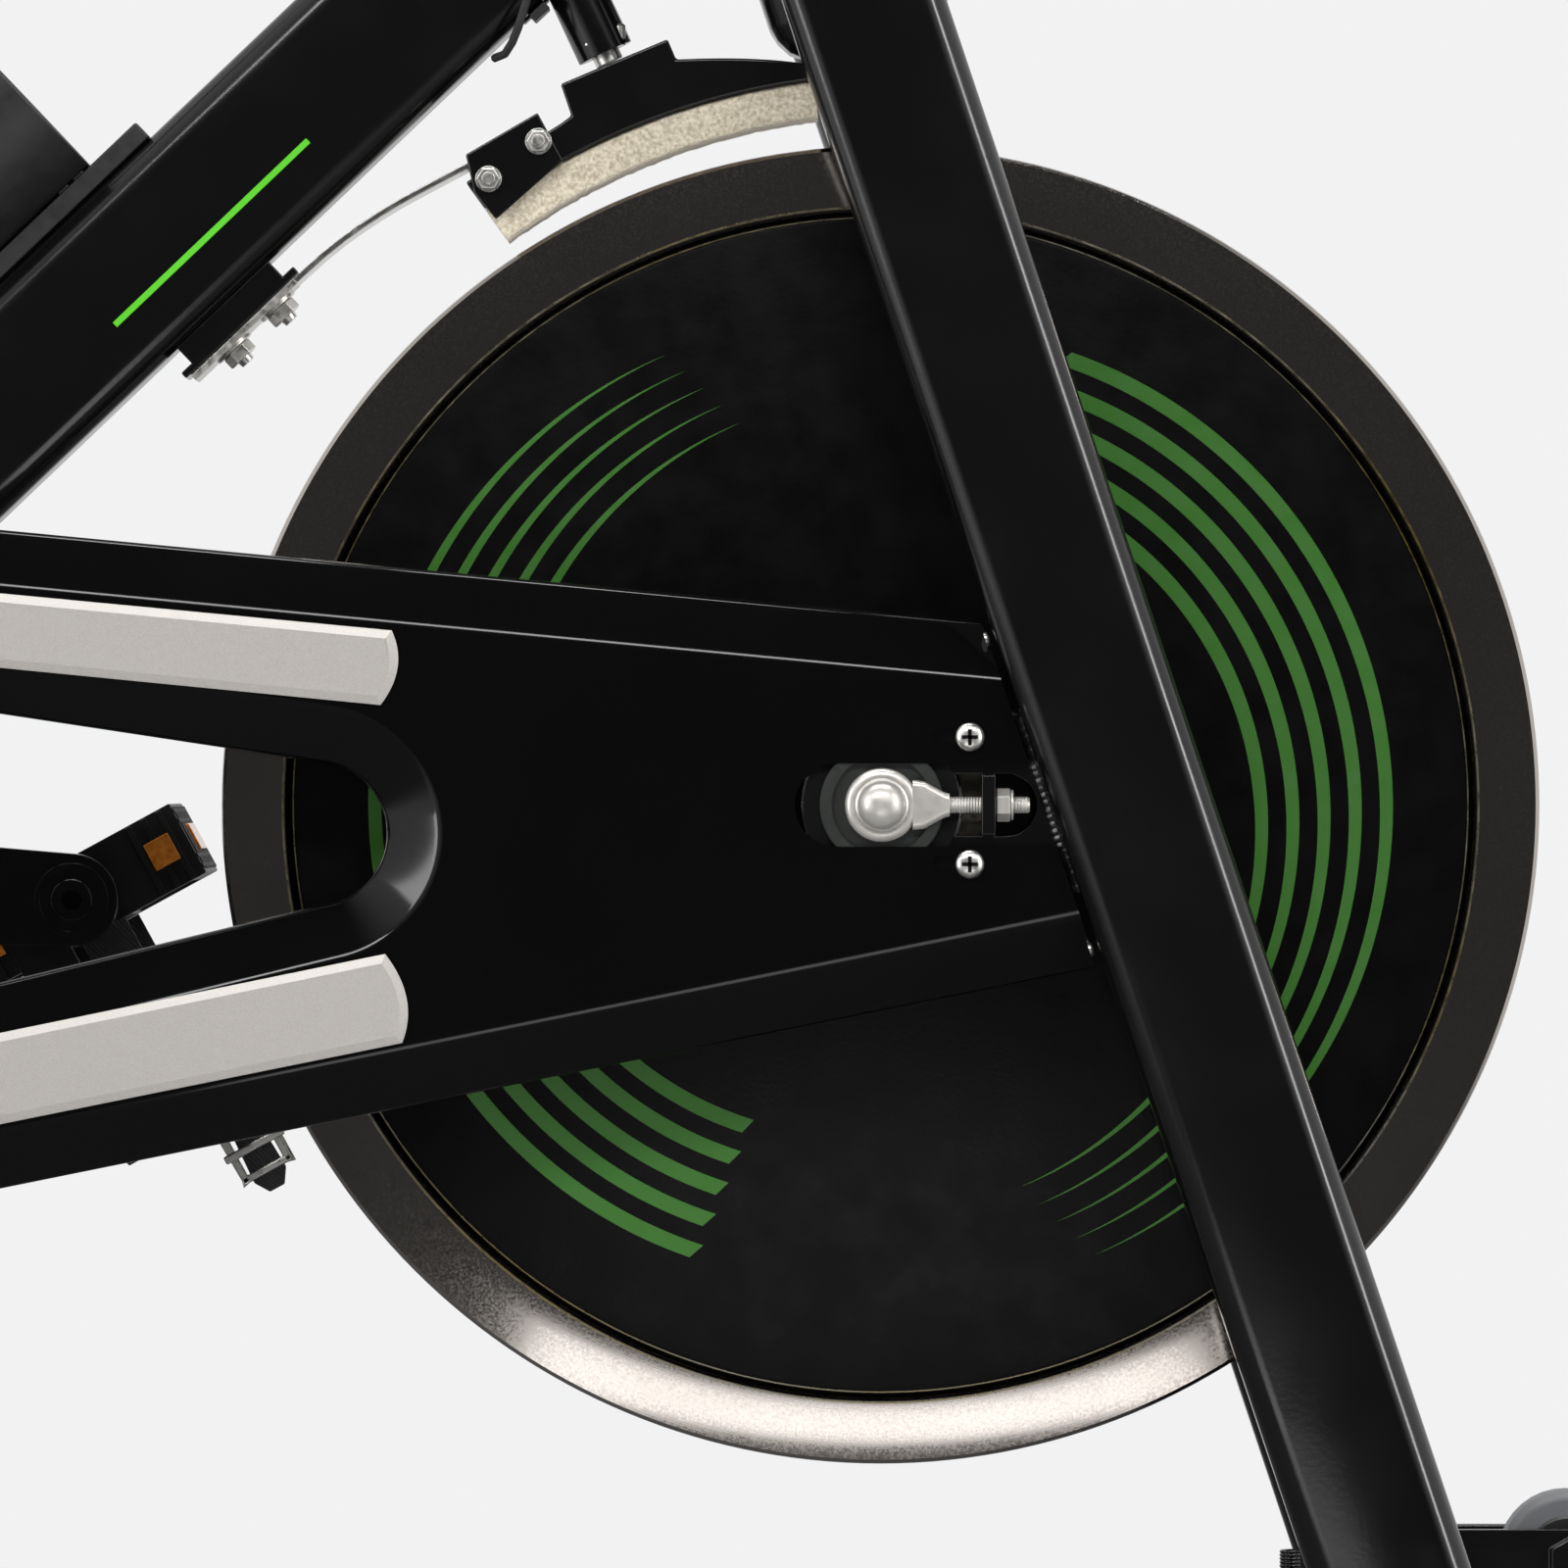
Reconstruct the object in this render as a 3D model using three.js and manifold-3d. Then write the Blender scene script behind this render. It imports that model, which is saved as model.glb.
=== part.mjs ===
// An indoor cycling exercise bike: a welded steel frame with a weighted front flywheel, a chain drive
// in a wishbone guard, a felt friction brake, and a seat and handlebar that slide to fit the rider.
// Millimetres. +X is forward, +Y is the rider's left, +Z is up. Everything is placed from the
// flywheel's axle, and the last lines shift the bike so that it stands on Z = 0 about its middle.
import * as THREE from "three";
import { mergeVertices } from "three/addons/utils/BufferGeometryUtils.js";
import Module from "manifold-3d";

const wasm = await Module();
wasm.setup();

// ---------------------------------------------------------------- driving dimensions
const DEG = Math.PI / 180;
const GAP = 0.3; // left between pieces that touch

const AXLE_HEIGHT = 356; // flywheel axle above the floor
const WHEEL_R = 230; // flywheel
const RIM_INNER_R = 207.5;
const RIM_WIDTH = 22;
const DISC_WIDTH = 16;
const HUB_R = 22;
const HUB_FLANGE_R = 42;
const HUB_LEFT_Y = 26;
const BEARING_R = 16;
const AXLE_R = 6;
const CHAIN_PITCH = 12.7;
const CHAIN_HEIGHT = 8;
const CHAIN_WIDTH = 8;
const CHAIN_Y = -42; // chain plane
const CHAINRING_TEETH = 52;
const SPROCKET_TEETH = 16;
const SPROCKET_WIDTH = 3;

const CRANK = [-451.6, -25.6]; // crank axis, X and Z from the flywheel axle
const CRANK_LENGTH = 165;
const CRANK_ANGLE = -2.9; // left crank at rest, degrees above straight ahead
const SPINDLE_R = 8.5;
const SHELL_R = 20; // bottom bracket shell
const SHELL_HALF_LENGTH = 34;
const CRANK_INNER_Y = 72;
const CRANK_THICKNESS = 16;
const CRANK_BOSS_R = 22;
const CRANK_END_R = 16.4;

const PEDAL_AXLE_R = 7;
const PEDAL_LENGTH = 92;
const PEDAL_WIDTH = 92;
const PEDAL_HEIGHT = 28;
const PEDAL_TILT = 208.6; // at rest the toe cage hangs under the pedal
const CAGE_HEIGHT = 92; // toe cage above the pedal's axle

const FORK_LEAN = 18.5; // degrees back from upright
// Points over the wheel are given for a 230 mm one, and move up the fork with a larger one.
const RISE = WHEEL_R - 230;
function risen([x, z]) {
  return [x - RISE * Math.sin(FORK_LEAN * DEG), z + RISE * Math.cos(FORK_LEAN * DEG)];
}
const HEAD = risen([-44.4, 391.9]); // where the main tube meets the fork's line
const MAIN_OVER_CRANK = 21.020; // main tube's line above the crank axis, square to it
const MAIN_SLOPE =
  (Math.atan2(HEAD[1] - CRANK[1], HEAD[0] - CRANK[0]) -
    Math.asin(MAIN_OVER_CRANK / Math.hypot(HEAD[0] - CRANK[0], HEAD[1] - CRANK[1]))) /
  DEG; // degrees above level, 43.65 as drawn
const SEAT_LEAN = 17;
const LEG = { deep: 54, wide: 30, round: 9, wall: 2 };
const MAIN = { deep: 60, wide: 40, round: 10, wall: 2 };
const SEAT_TUBE = { deep: 56, wide: 40, round: 9, wall: 2 };
const HEAD_TUBE = { deep: 66, wide: 46, round: 10, wall: 2.5 };
const LEG_Y = 60;
const LEG_TOP = 28; // leg's top end, along its line from HEAD
const HEAD_BOTTOM = -117;
const HEAD_TOP = 110;
const SEAT_BASE_X = -470; // where the seat tube's line crosses the main tube's
const SEAT_TUBE_LENGTH = 300;

const BRACKET_Y = 57; // axle bracket's inner face
const BRACKET_THICKNESS = 5;
const BRACKET_REAR_X = -42;
const BRACKET_HALF_HEIGHT = 30;
const SLOT_HALF_HEIGHT = 10.8;
const SLOT_REAR_X = -32;
const SLOT_FRONT_X = 53.6;
const EYE_R = 12.7;
const TENSION_SCREW_R = 3;
const TENSION_SCREW_END = 51;
const TAB_X = 34.5;
const TAB_THICKNESS = 4.5;

const GUARD_R = 134; // chain guard's round end, about the crank axis
const GUARD_FACE_Y = 66;
const GUARD_SPLIT_Y = 45;
const GUARD_BACK_Y = 24;
const GUARD_WALL = 2.6;
const GUARD_TOP_Z = 63; // guard's front corners
const GUARD_BOTTOM_Z = -56;
const GUARD_BEVEL = 19;
const GUARD_BEVEL_DEPTH = 12;
const GUARD_BACK_BEVEL = 7;
const GUARD_FRONT_GAP = 2.5;
const WINDOW_R = 24.5;
const WINDOW_CENTRE = [-195.6, -9.8];
const WINDOW_TOP_SLOPE = 8.6;
const WINDOW_BOTTOM_SLOPE = 13.6;
const WINDOW_REAR_R = 120;
const WINDOW_REAR_BEVEL = 0.4; // share of the bevel's width
const TRIM_THICKNESS = 1.5;

const STABILIZER_TOP = -284;
const STABILIZER_HALF = 250;
const STABILIZER = { deep: 60, wide: 50, round: 8, wall: 2 };
const FRONT_STABILIZER_X = 176;
const FOOT_PLATE = 5;
const CASTOR_R = 24.7;
const CASTOR_WIDTH = 22;
const CASTOR = [251.5, -274.4];
const CASTOR_Y = 192;
const CASTOR_AXLE_R = 4;
const FOOT_R = 20;
const FOOT_STUD_R = 4;
const FOOT_Y = 215;

const SEAT_POST = { deep: 46, wide: 30, round: 7, wall: 2 };
const SEAT_POST_LENGTH = 380;
const SEAT_POST_BOTTOM = 150; // at rest, along the seat line
const BAR_POST = { deep: 54, wide: 34, round: 8, wall: 2 };
const BAR_POST_LENGTH = 385;
const BAR_POST_BOTTOM = -60;
const SLEEVE_DEPTH = 55;
const SLEEVE_COLLAR = 9;
const SLIDE_CLEARANCE = 0.3;
const SLIDE_BAR = { deep: 36, wide: 36, round: 5, wall: 2.5 };
const SLIDE_BAR_FRONT = 95;
const SLIDE_BAR_REAR = 110;
const SLIDE_SLEEVE = [-45, 75]; // the seat post's sleeve, from the middle of the post
const SLIDE_PIN_X = 56;
const SLIDE_KNOB_R = 20;
const SADDLE_LENGTH = 268;
const SADDLE_WIDTH = 196;

const BAR_R = 16;
const BAR_HALF_WIDTH = 215;
const PIN_R = 5;
const PIN_DROP = 78; // pull pins below the tops of their tubes
const BOSS_R = 13;
const BOSS_LENGTH = 22;
const KNOB_R = 24;

const HOLDER_ALONG = 262; // bottle holder's upper end, down the main tube from HEAD
const BOTTLE_R = 38;
const BOTTLE_WALL = 3;

const BRAKE_LEAN = 25; // brake rod, degrees back from upright
const BRAKE_FOOT = risen([-96.1, 262.7]); // lower end of the brake's guide tube
const BRAKE_TUBE_R = 10;
const BRAKE_TUBE_LENGTH = 110;
const ROD_R = 5;
const LEAF_ROOT_AT = [266.61, -41.01]; // middle of the leaf spring's bracket: down the main tube, and aside
const LEAF_REAR_AT = [298.23, -40.84];
const LEAF_WIDTH = 26;
const LEAF_THICKNESS = 2;
const PAD_CLEARANCE = 1.2; // pad to rim with the brake on
const PAD_THICKNESS = 13;
const SHOE_THICKNESS = 12;
const SHOE_WIDTH = 34;
const PAD_FROM = -FORK_LEAN - 61 / WHEEL_R / DEG; // degrees about the axle from straight up, backwards
const PAD_TO = -FORK_LEAN + 55.8 / WHEEL_R / DEG;
// With the brake on: the block under the rod, rear foot first, then the shoe's front end.
const SHOE_BACK = [
  [-104.4, 234.8],
  [-107.7, 246],
  [-69.8, 260.1],
  [-67.1, 252.9],
].map(risen);
const SHOE_NOSE = risen([-22.7, 249.6]);
const BRAKE_LIFT = 2.4; // degrees that the shoe stands off at rest

// ---------------------------------------------------------------- materials
function paint(color, roughness, metalness) {
  return new THREE.MeshStandardMaterial({ color, roughness, metalness });
}
const glossBlack = paint(0x0c0b0c, 0.18, 0);
const satinBlack = paint(0x151415, 0.5, 0);
const darkSteel = paint(0x2a2624, 0.2, 1);
const steel = paint(0xc9c6c0, 0.3, 1);
const chrome = paint(0xe3e0da, 0.08, 1);
const silverPaint = paint(0xb9babd, 0.4, 0.3);
const plastic = paint(0x1a1a1b, 0.6, 0);
const rubber = paint(0x232324, 0.85, 0);
const felt = paint(0xb9aa90, 0.95, 0);
const vinyl = paint(0x171718, 0.6, 0);

// ---------------------------------------------------------------- solids
function toSolid(geometry) {
  const bare = geometry.index ? geometry.toNonIndexed() : geometry.clone();
  bare.deleteAttribute("normal");
  bare.deleteAttribute("uv");
  const merged = mergeVertices(bare, 1e-4);
  return new wasm.Manifold(
    new wasm.Mesh({
      numProp: 3,
      vertProperties: merged.attributes.position.array,
      triVerts: new Uint32Array(merged.index.array),
    }),
  );
}

function toGeometry(solid) {
  const made = solid.getMesh();
  return new THREE.BufferGeometry()
    .setAttribute("position", new THREE.BufferAttribute(made.vertProperties, 3))
    .setIndex(new THREE.BufferAttribute(made.triVerts, 1));
}

function cut(body, ...tools) {
  return toGeometry(tools.reduce((s, t) => s.subtract(toSolid(t)), toSolid(body)));
}

function join(...parts) {
  return toGeometry(parts.slice(1).reduce((s, t) => s.add(toSolid(t)), toSolid(parts[0])));
}

function box(x0, x1, y0, y1, z0, z1) {
  return new THREE.BoxGeometry(x1 - x0, y1 - y0, z1 - z0).translate(
    (x0 + x1) / 2,
    (y0 + y1) / 2,
    (z0 + z1) / 2,
  );
}

// A shape drawn in X and Z, carried along Y from y0 to y1.
function slab(shape, y0, y1, curveSegments = 12) {
  return new THREE.ExtrudeGeometry(shape, { depth: y1 - y0, bevelEnabled: false, curveSegments })
    .rotateX(90 * DEG)
    .translate(0, y1, 0);
}

// A cylinder along Y at X, Z.
function rodY([x, z], radius, y0, y1, sides = 18) {
  return new THREE.CylinderGeometry(radius, radius, y1 - y0, sides).translate(x, (y0 + y1) / 2, z);
}

// A cylinder between two points.
function rod(from, to, radius, sides = 16) {
  const a = new THREE.Vector3(...from);
  const b = new THREE.Vector3(...to);
  const along = b.clone().sub(a);
  const turn = new THREE.Quaternion().setFromUnitVectors(
    new THREE.Vector3(0, 1, 0),
    along.clone().normalize(),
  );
  return new THREE.CylinderGeometry(radius, radius, along.length(), sides)
    .applyQuaternion(turn)
    .translate(...a.add(b).multiplyScalar(0.5).toArray());
}

// A profile of [radius, y] corners turned round the Y axis.
function turned(profile, sides = 24) {
  const area = profile.reduce((sum, [r, y], i) => {
    const [nextR, nextY] = profile[(i + 1) % profile.length];
    return sum + r * nextY - nextR * y;
  }, 0);
  const ordered = area > 0 ? profile : [...profile].reverse();
  const points = [...ordered, ordered[0]].map(([r, y]) => new THREE.Vector2(r, y));
  return new THREE.LatheGeometry(points, sides);
}

function ring(innerR, outerR, y0, y1, sides = 24) {
  return turned(
    [
      [innerR, y0],
      [outerR, y0],
      [outerR, y1],
      [innerR, y1],
    ],
    sides,
  );
}

function tracePath(path, deep, wide, round) {
  const x = deep / 2 - round;
  const y = wide / 2 - round;
  path.moveTo(deep / 2, -y);
  path.absarc(x, y, round, 0, 90 * DEG);
  path.absarc(-x, y, round, 90 * DEG, 180 * DEG);
  path.absarc(-x, -y, round, 180 * DEG, 270 * DEG);
  path.absarc(x, -y, round, 270 * DEG, 360 * DEG);
  return path;
}

// A bar of rounded rectangular section along the line from `from` to `to` in X and Z.
// `deep` is measured in the X-Z plane across the line, and `wide` along Y.
function bar(from, to, { deep, wide, round, wall }, y = 0) {
  const shape = tracePath(new THREE.Shape(), deep, wide, round);
  if (wall)
    shape.holes.push(
      tracePath(new THREE.Path(), deep - 2 * wall, wide - 2 * wall, Math.max(round - wall, 1)),
    );
  const along = new THREE.Vector3(to[0] - from[0], 0, to[1] - from[1]);
  const length = along.length();
  along.normalize();
  const across = new THREE.Vector3(0, 1, 0);
  const basis = new THREE.Matrix4().makeBasis(across.clone().cross(along), across, along);
  return new THREE.ExtrudeGeometry(shape, { depth: length, bevelEnabled: false, curveSegments: 3 })
    .applyMatrix4(basis)
    .translate(from[0], y, from[1]);
}

// The same section without its hollow, larger by `by` all round.
function solidSection({ deep, wide, round }, by = 0) {
  return { deep: deep + 2 * by, wide: wide + 2 * by, round: round + by };
}

function polygon(points) {
  return new THREE.Shape(points.map(([x, z]) => new THREE.Vector2(x, z)));
}

// ---------------------------------------------------------------- lines of the frame
function onLine([x, z], angle, distance) {
  return [x + distance * Math.cos(angle * DEG), z + distance * Math.sin(angle * DEG)];
}
const forkPoint = (distance, aside = 0) =>
  onLine(onLine(HEAD, 90 + FORK_LEAN, distance), FORK_LEAN, aside);
const mainPoint = (distance, aside = 0) =>
  onLine(onLine(HEAD, 180 + MAIN_SLOPE, distance), 90 + MAIN_SLOPE, aside);
const seatBase = mainPoint((HEAD[0] - SEAT_BASE_X) / Math.cos(MAIN_SLOPE * DEG));
const seatPoint = (distance, aside = 0) =>
  onLine(onLine(seatBase, 90 + SEAT_LEAN, distance), SEAT_LEAN, aside);
const LEAF_ROOT = mainPoint(...LEAF_ROOT_AT);
const LEAF_REAR = mainPoint(...LEAF_REAR_AT);
const brakePoint = (distance, aside = 0) =>
  onLine(onLine(BRAKE_FOOT, 90 + BRAKE_LEAN, distance), BRAKE_LEAN, aside);
const mainLength = (HEAD[1] - STABILIZER_TOP) / Math.sin(MAIN_SLOPE * DEG);
const rearStabilizerX = mainPoint(mainLength)[0];
const legLength = (HEAD[1] - STABILIZER_TOP - FOOT_PLATE) / Math.cos(FORK_LEAN * DEG);

// ---------------------------------------------------------------- the groups and their pieces
const bike = new THREE.Group();

function place(group, name, geometry, material) {
  const mesh = new THREE.Mesh(geometry, material);
  mesh.name = name;
  group.add(mesh);
  return mesh;
}

const sides = [
  { side: "right", sign: -1 },
  { side: "left", sign: 1 },
];
// y0 and y1 measured outwards from the middle, as a low and high Y on one side.
const span = (sign, near, far) => (sign > 0 ? [near, far] : [-far, -near]);

// ---------------------------------------------------------------- frame
const frame = new THREE.Group();
bike.add(frame);

const floorCut = box(-2000, 2000, -500, 500, -1000, STABILIZER_TOP + FOOT_PLATE + GAP);
const headEnvelope = bar(forkPoint(-300), forkPoint(300), solidSection(HEAD_TUBE, GAP));
const mainEnvelope = bar(mainPoint(-60), mainPoint(mainLength + 60), solidSection(MAIN, GAP));
const shellEnvelope = rodY(CRANK, SHELL_R + GAP, -60, 60, 28);
const brakeHole = rod(
  [brakePoint(-20)[0], 0, brakePoint(-20)[1]],
  [brakePoint(200)[0], 0, brakePoint(200)[1]],
  BRAKE_TUBE_R + GAP,
  24,
);

// Welded under the main tube, the channel that the brake's leaf spring is bolted to.
const bracketRear = onLine(LEAF_ROOT, 180 + MAIN_SLOPE, 30);
const bracketFront = onLine(LEAF_ROOT, MAIN_SLOPE, 6);
const underMain = (distance) => {
  const along = (LEAF_ROOT[0] - HEAD[0]) / Math.cos((180 + MAIN_SLOPE) * DEG);
  return mainPoint(along + distance, 1 - MAIN.deep / 2);
};
const leafBracket = slab(
  polygon([
    onLine(bracketRear, 90 + MAIN_SLOPE, LEAF_THICKNESS / 2 + GAP),
    onLine(bracketFront, 90 + MAIN_SLOPE, LEAF_THICKNESS / 2 + GAP),
    underMain(-14),
    underMain(22),
  ]),
  -LEAF_WIDTH / 2 - 3,
  LEAF_WIDTH / 2 + 3,
);
const mainTube = cut(
  bar(mainPoint(0), mainPoint(mainLength + 60), MAIN),
  headEnvelope,
  shellEnvelope,
  brakeHole,
  floorCut,
);
place(frame, "main_tube", join(mainTube, leafBracket), glossBlack);

// A boss welded on a tube at `root` holds a pull pin; `outward` is the way the pin is pulled.
const at3 = ([x, z], y = 0) => [x, y, z];
function pinBoss(root, outward) {
  return rod(at3(onLine(root, outward, -1)), at3(onLine(root, outward, BOSS_LENGTH)), BOSS_R, 24);
}
function pinHole(root, outward) {
  return rod(at3(onLine(root, outward, -4)), at3(onLine(root, outward, BOSS_LENGTH + 5)), PIN_R + GAP, 16);
}
const barPin = [forkPoint(HEAD_TOP - PIN_DROP, HEAD_TUBE.deep / 2), FORK_LEAN];
const seatPin = [seatPoint(SEAT_TUBE_LENGTH - PIN_DROP, -SEAT_TUBE.deep / 2), 180 + SEAT_LEAN];

const crownHalf = LEG_Y - LEG.wide / 2 - GAP;
const crowns = sides.map(({ sign }) => {
  const [low, high] = span(sign, HEAD_TUBE.wide / 2 - 1, crownHalf);
  const section = { deep: LEG.deep - 6, wide: high - low, round: 4 };
  return bar(forkPoint(-70), forkPoint(10), section, (low + high) / 2);
});
place(
  frame,
  "head_tube",
  cut(
    join(
      bar(forkPoint(HEAD_BOTTOM), forkPoint(HEAD_TOP), HEAD_TUBE),
      bar(forkPoint(HEAD_BOTTOM - 9), forkPoint(HEAD_BOTTOM + 5), solidSection(HEAD_TUBE, -2)),
      bar(forkPoint(HEAD_BOTTOM - 14), forkPoint(HEAD_BOTTOM + 5), solidSection(HEAD_TUBE, -7)),
      ...crowns,
      pinBoss(...barPin),
    ),
    pinHole(...barPin),
  ),
  glossBlack,
);
place(
  frame,
  "seat_tube",
  cut(
    join(
      cut(bar(seatPoint(0), seatPoint(SEAT_TUBE_LENGTH), SEAT_TUBE), mainEnvelope, shellEnvelope),
      pinBoss(...seatPin),
    ),
    pinHole(...seatPin),
  ),
  glossBlack,
);
place(
  frame,
  "bottom_bracket_shell",
  ring(SPINDLE_R + 5, SHELL_R, -SHELL_HALF_LENGTH, SHELL_HALF_LENGTH, 28).translate(CRANK[0], 0, CRANK[1]),
  glossBlack,
);
for (const { side, sign } of sides) {
  const y = sign * LEG_Y;
  const outer = bar(forkPoint(-legLength - 60), forkPoint(LEG_TOP), solidSection(LEG), y);
  const innerTop = forkPoint(LEG_TOP - LEG.wall);
  const inner = bar(forkPoint(-legLength - 70), innerTop, solidSection(LEG, -LEG.wall), y);
  place(frame, "fork_leg_" + side, cut(outer, inner, floorCut), glossBlack);
}

// Axle brackets: a slotted plate welded behind each fork leg, with a turned tab for the chain tensioner.
function slotShape(shape, rear, front, halfHeight) {
  shape.moveTo(rear + halfHeight, -halfHeight);
  shape.lineTo(front - halfHeight, -halfHeight);
  shape.absarc(front - halfHeight, 0, halfHeight, -90 * DEG, 90 * DEG);
  shape.absarc(rear + halfHeight, 0, halfHeight, 90 * DEG, 270 * DEG);
  return shape;
}
const legRearX = (z) =>
  forkPoint((z - HEAD[1]) / Math.cos(FORK_LEAN * DEG))[0] - (LEG.deep / 2 + GAP) / Math.cos(FORK_LEAN * DEG);
const slotGeometry = slab(slotShape(new THREE.Shape(), SLOT_REAR_X, SLOT_FRONT_X, SLOT_HALF_HEIGHT), -90, 90, 8);
for (const { side, sign } of sides) {
  const outline = polygon([
    [BRACKET_REAR_X, -BRACKET_HALF_HEIGHT],
    [legRearX(-BRACKET_HALF_HEIGHT), -BRACKET_HALF_HEIGHT],
    [legRearX(BRACKET_HALF_HEIGHT), BRACKET_HALF_HEIGHT],
    [BRACKET_REAR_X, BRACKET_HALF_HEIGHT],
  ]);
  const plate = cut(slab(outline, ...span(sign, BRACKET_Y, BRACKET_Y + BRACKET_THICKNESS)), slotGeometry);
  const tabRoot = box(
    TAB_X,
    TAB_X + TAB_THICKNESS,
    ...span(sign, BRACKET_Y, BRACKET_Y + BRACKET_THICKNESS),
    -SLOT_HALF_HEIGHT - 1,
    SLOT_HALF_HEIGHT + 1,
  );
  const tab = box(
    TAB_X,
    TAB_X + TAB_THICKNESS,
    ...span(sign, BRACKET_Y + 1, BRACKET_Y + BRACKET_THICKNESS + 10),
    -SLOT_HALF_HEIGHT + 0.8,
    SLOT_HALF_HEIGHT - 0.8,
  );
  const eyeY = sign * (BRACKET_Y + BRACKET_THICKNESS + GAP + 3);
  const screwHole = rod([TAB_X - 5, eyeY, 0], [TAB_X + 12, eyeY, 0], TENSION_SCREW_R + GAP, 16);
  place(frame, "axle_bracket_" + side, cut(join(plate, tabRoot, tab), screwHole), glossBlack);

  // The eyebolt's ring goes over the axle, and its screw pulls the axle forward through the tab.
  const [ringLow, ringHigh] = span(sign, Math.abs(eyeY) - 3, Math.abs(eyeY) + 3);
  const nutX = TAB_X + TAB_THICKNESS + GAP;
  const eye = join(
    rodY([0, 0], EYE_R, ringLow, ringHigh, 24),
    rod([EYE_R - 4, eyeY, 0], [TENSION_SCREW_END, eyeY, 0], TENSION_SCREW_R, 16),
    rod([EYE_R - 1, eyeY, 0], [EYE_R + 10, eyeY, 0], TENSION_SCREW_R + 1.6, 6),
    rod([nutX, eyeY, 0], [nutX + 5, eyeY, 0], 5.8, 6),
  );
  const axleHole = rodY([0, 0], AXLE_R + GAP, ringLow - 1, ringHigh + 1);
  place(frame, "tensioner_" + side, cut(eye, axleHole), steel);
}

// ---------------------------------------------------------------- flywheel axle
const nutY = BRACKET_Y + BRACKET_THICKNESS + 6 + 3 * GAP;
const domeNut = (sign) =>
  turned(
    [
      [0, sign * nutY],
      [10.9, sign * nutY],
      [10.9, sign * (nutY + 6)],
      [8.6, sign * (nutY + 12)],
      [4.6, sign * (nutY + 15)],
      [0, sign * (nutY + 16)],
    ],
    18,
  );
place(
  frame,
  "flywheel_axle",
  join(
    rodY([0, 0], AXLE_R, -nutY - 2, nutY + 2),
    domeNut(-1),
    domeNut(1),
    rodY([0, 0], 12, -BRACKET_Y + GAP, CHAIN_Y - 4 - GAP),
    rodY([0, 0], 12, HUB_LEFT_Y + GAP, BRACKET_Y - GAP),
  ),
  steel,
);

// ---------------------------------------------------------------- flywheel
const flywheel = new THREE.Group();
bike.add(flywheel);
const disc = DISC_WIDTH / 2;
const rim = RIM_WIDTH / 2;
place(
  flywheel,
  "flywheel",
  turned(
    [
      [HUB_R + GAP, -disc],
      [RIM_INNER_R - 2, -disc],
      [RIM_INNER_R, -rim],
      [WHEEL_R - 2, -rim],
      [WHEEL_R, -rim + 2],
      [WHEEL_R, rim - 2],
      [WHEEL_R - 2, rim],
      [RIM_INNER_R, rim],
      [RIM_INNER_R - 2, disc],
      [HUB_R + GAP, disc],
    ],
    80,
  ),
  darkSteel,
);
const hubRight = CHAIN_Y - 4;
place(
  flywheel,
  "flywheel_hub",
  turned(
    [
      [BEARING_R + GAP, hubRight],
      [19.2, hubRight],
      [19.2, CHAIN_Y + 5],
      [HUB_R, CHAIN_Y + 5],
      [HUB_R, -disc - 4.3],
      [HUB_FLANGE_R, -disc - 4.3],
      [HUB_FLANGE_R, -disc - GAP],
      [HUB_R, -disc - GAP],
      [HUB_R, HUB_LEFT_Y],
      [BEARING_R + GAP, HUB_LEFT_Y],
    ],
    28,
  ),
  steel,
);
place(flywheel, "hub_bearing_right", ring(AXLE_R + GAP, BEARING_R, hubRight + 1, hubRight + 11, 28), steel);
place(flywheel, "hub_bearing_left", ring(AXLE_R + GAP, BEARING_R, HUB_LEFT_Y - 11, HUB_LEFT_Y - 1, 28), steel);

function pitchRadius(teeth) {
  return CHAIN_PITCH / 2 / Math.sin(Math.PI / teeth);
}
const sprocketR = pitchRadius(SPROCKET_TEETH);
const chainringR = pitchRadius(CHAINRING_TEETH);
const toothDrop = CHAIN_HEIGHT / 2 + GAP;
place(
  flywheel,
  "drive_sprocket",
  ring(19.2 + GAP, sprocketR - toothDrop, CHAIN_Y - SPROCKET_WIDTH / 2, CHAIN_Y + SPROCKET_WIDTH / 2, 32),
  steel,
);

// ---------------------------------------------------------------- chain: one closed loop on its pitch line
function tangentAngle(point, centre, radius, side) {
  const dx = point[0] - centre[0];
  const dz = point[1] - centre[1];
  return Math.atan2(dz, dx) / DEG + (side * Math.acos(radius / Math.hypot(dx, dz))) / DEG;
}
const crankAngle = Math.atan2(-CRANK[1], -CRANK[0]) / DEG;
const wrap = Math.acos((chainringR - sprocketR) / Math.hypot(...CRANK)) / DEG;
function chainShape(shape, offset) {
  const from = (crankAngle + wrap) * DEG;
  const to = (crankAngle - wrap) * DEG;
  shape.absarc(...CRANK, chainringR + offset, from, to + 360 * DEG);
  shape.absarc(0, 0, sprocketR + offset, to, from);
  return shape;
}
const chainLoop = chainShape(new THREE.Shape(), CHAIN_HEIGHT / 2);
chainLoop.holes.push(chainShape(new THREE.Path(), -CHAIN_HEIGHT / 2));
place(frame, "drive_chain", slab(chainLoop, CHAIN_Y - CHAIN_WIDTH / 2, CHAIN_Y + CHAIN_WIDTH / 2, 22), steel);

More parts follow.
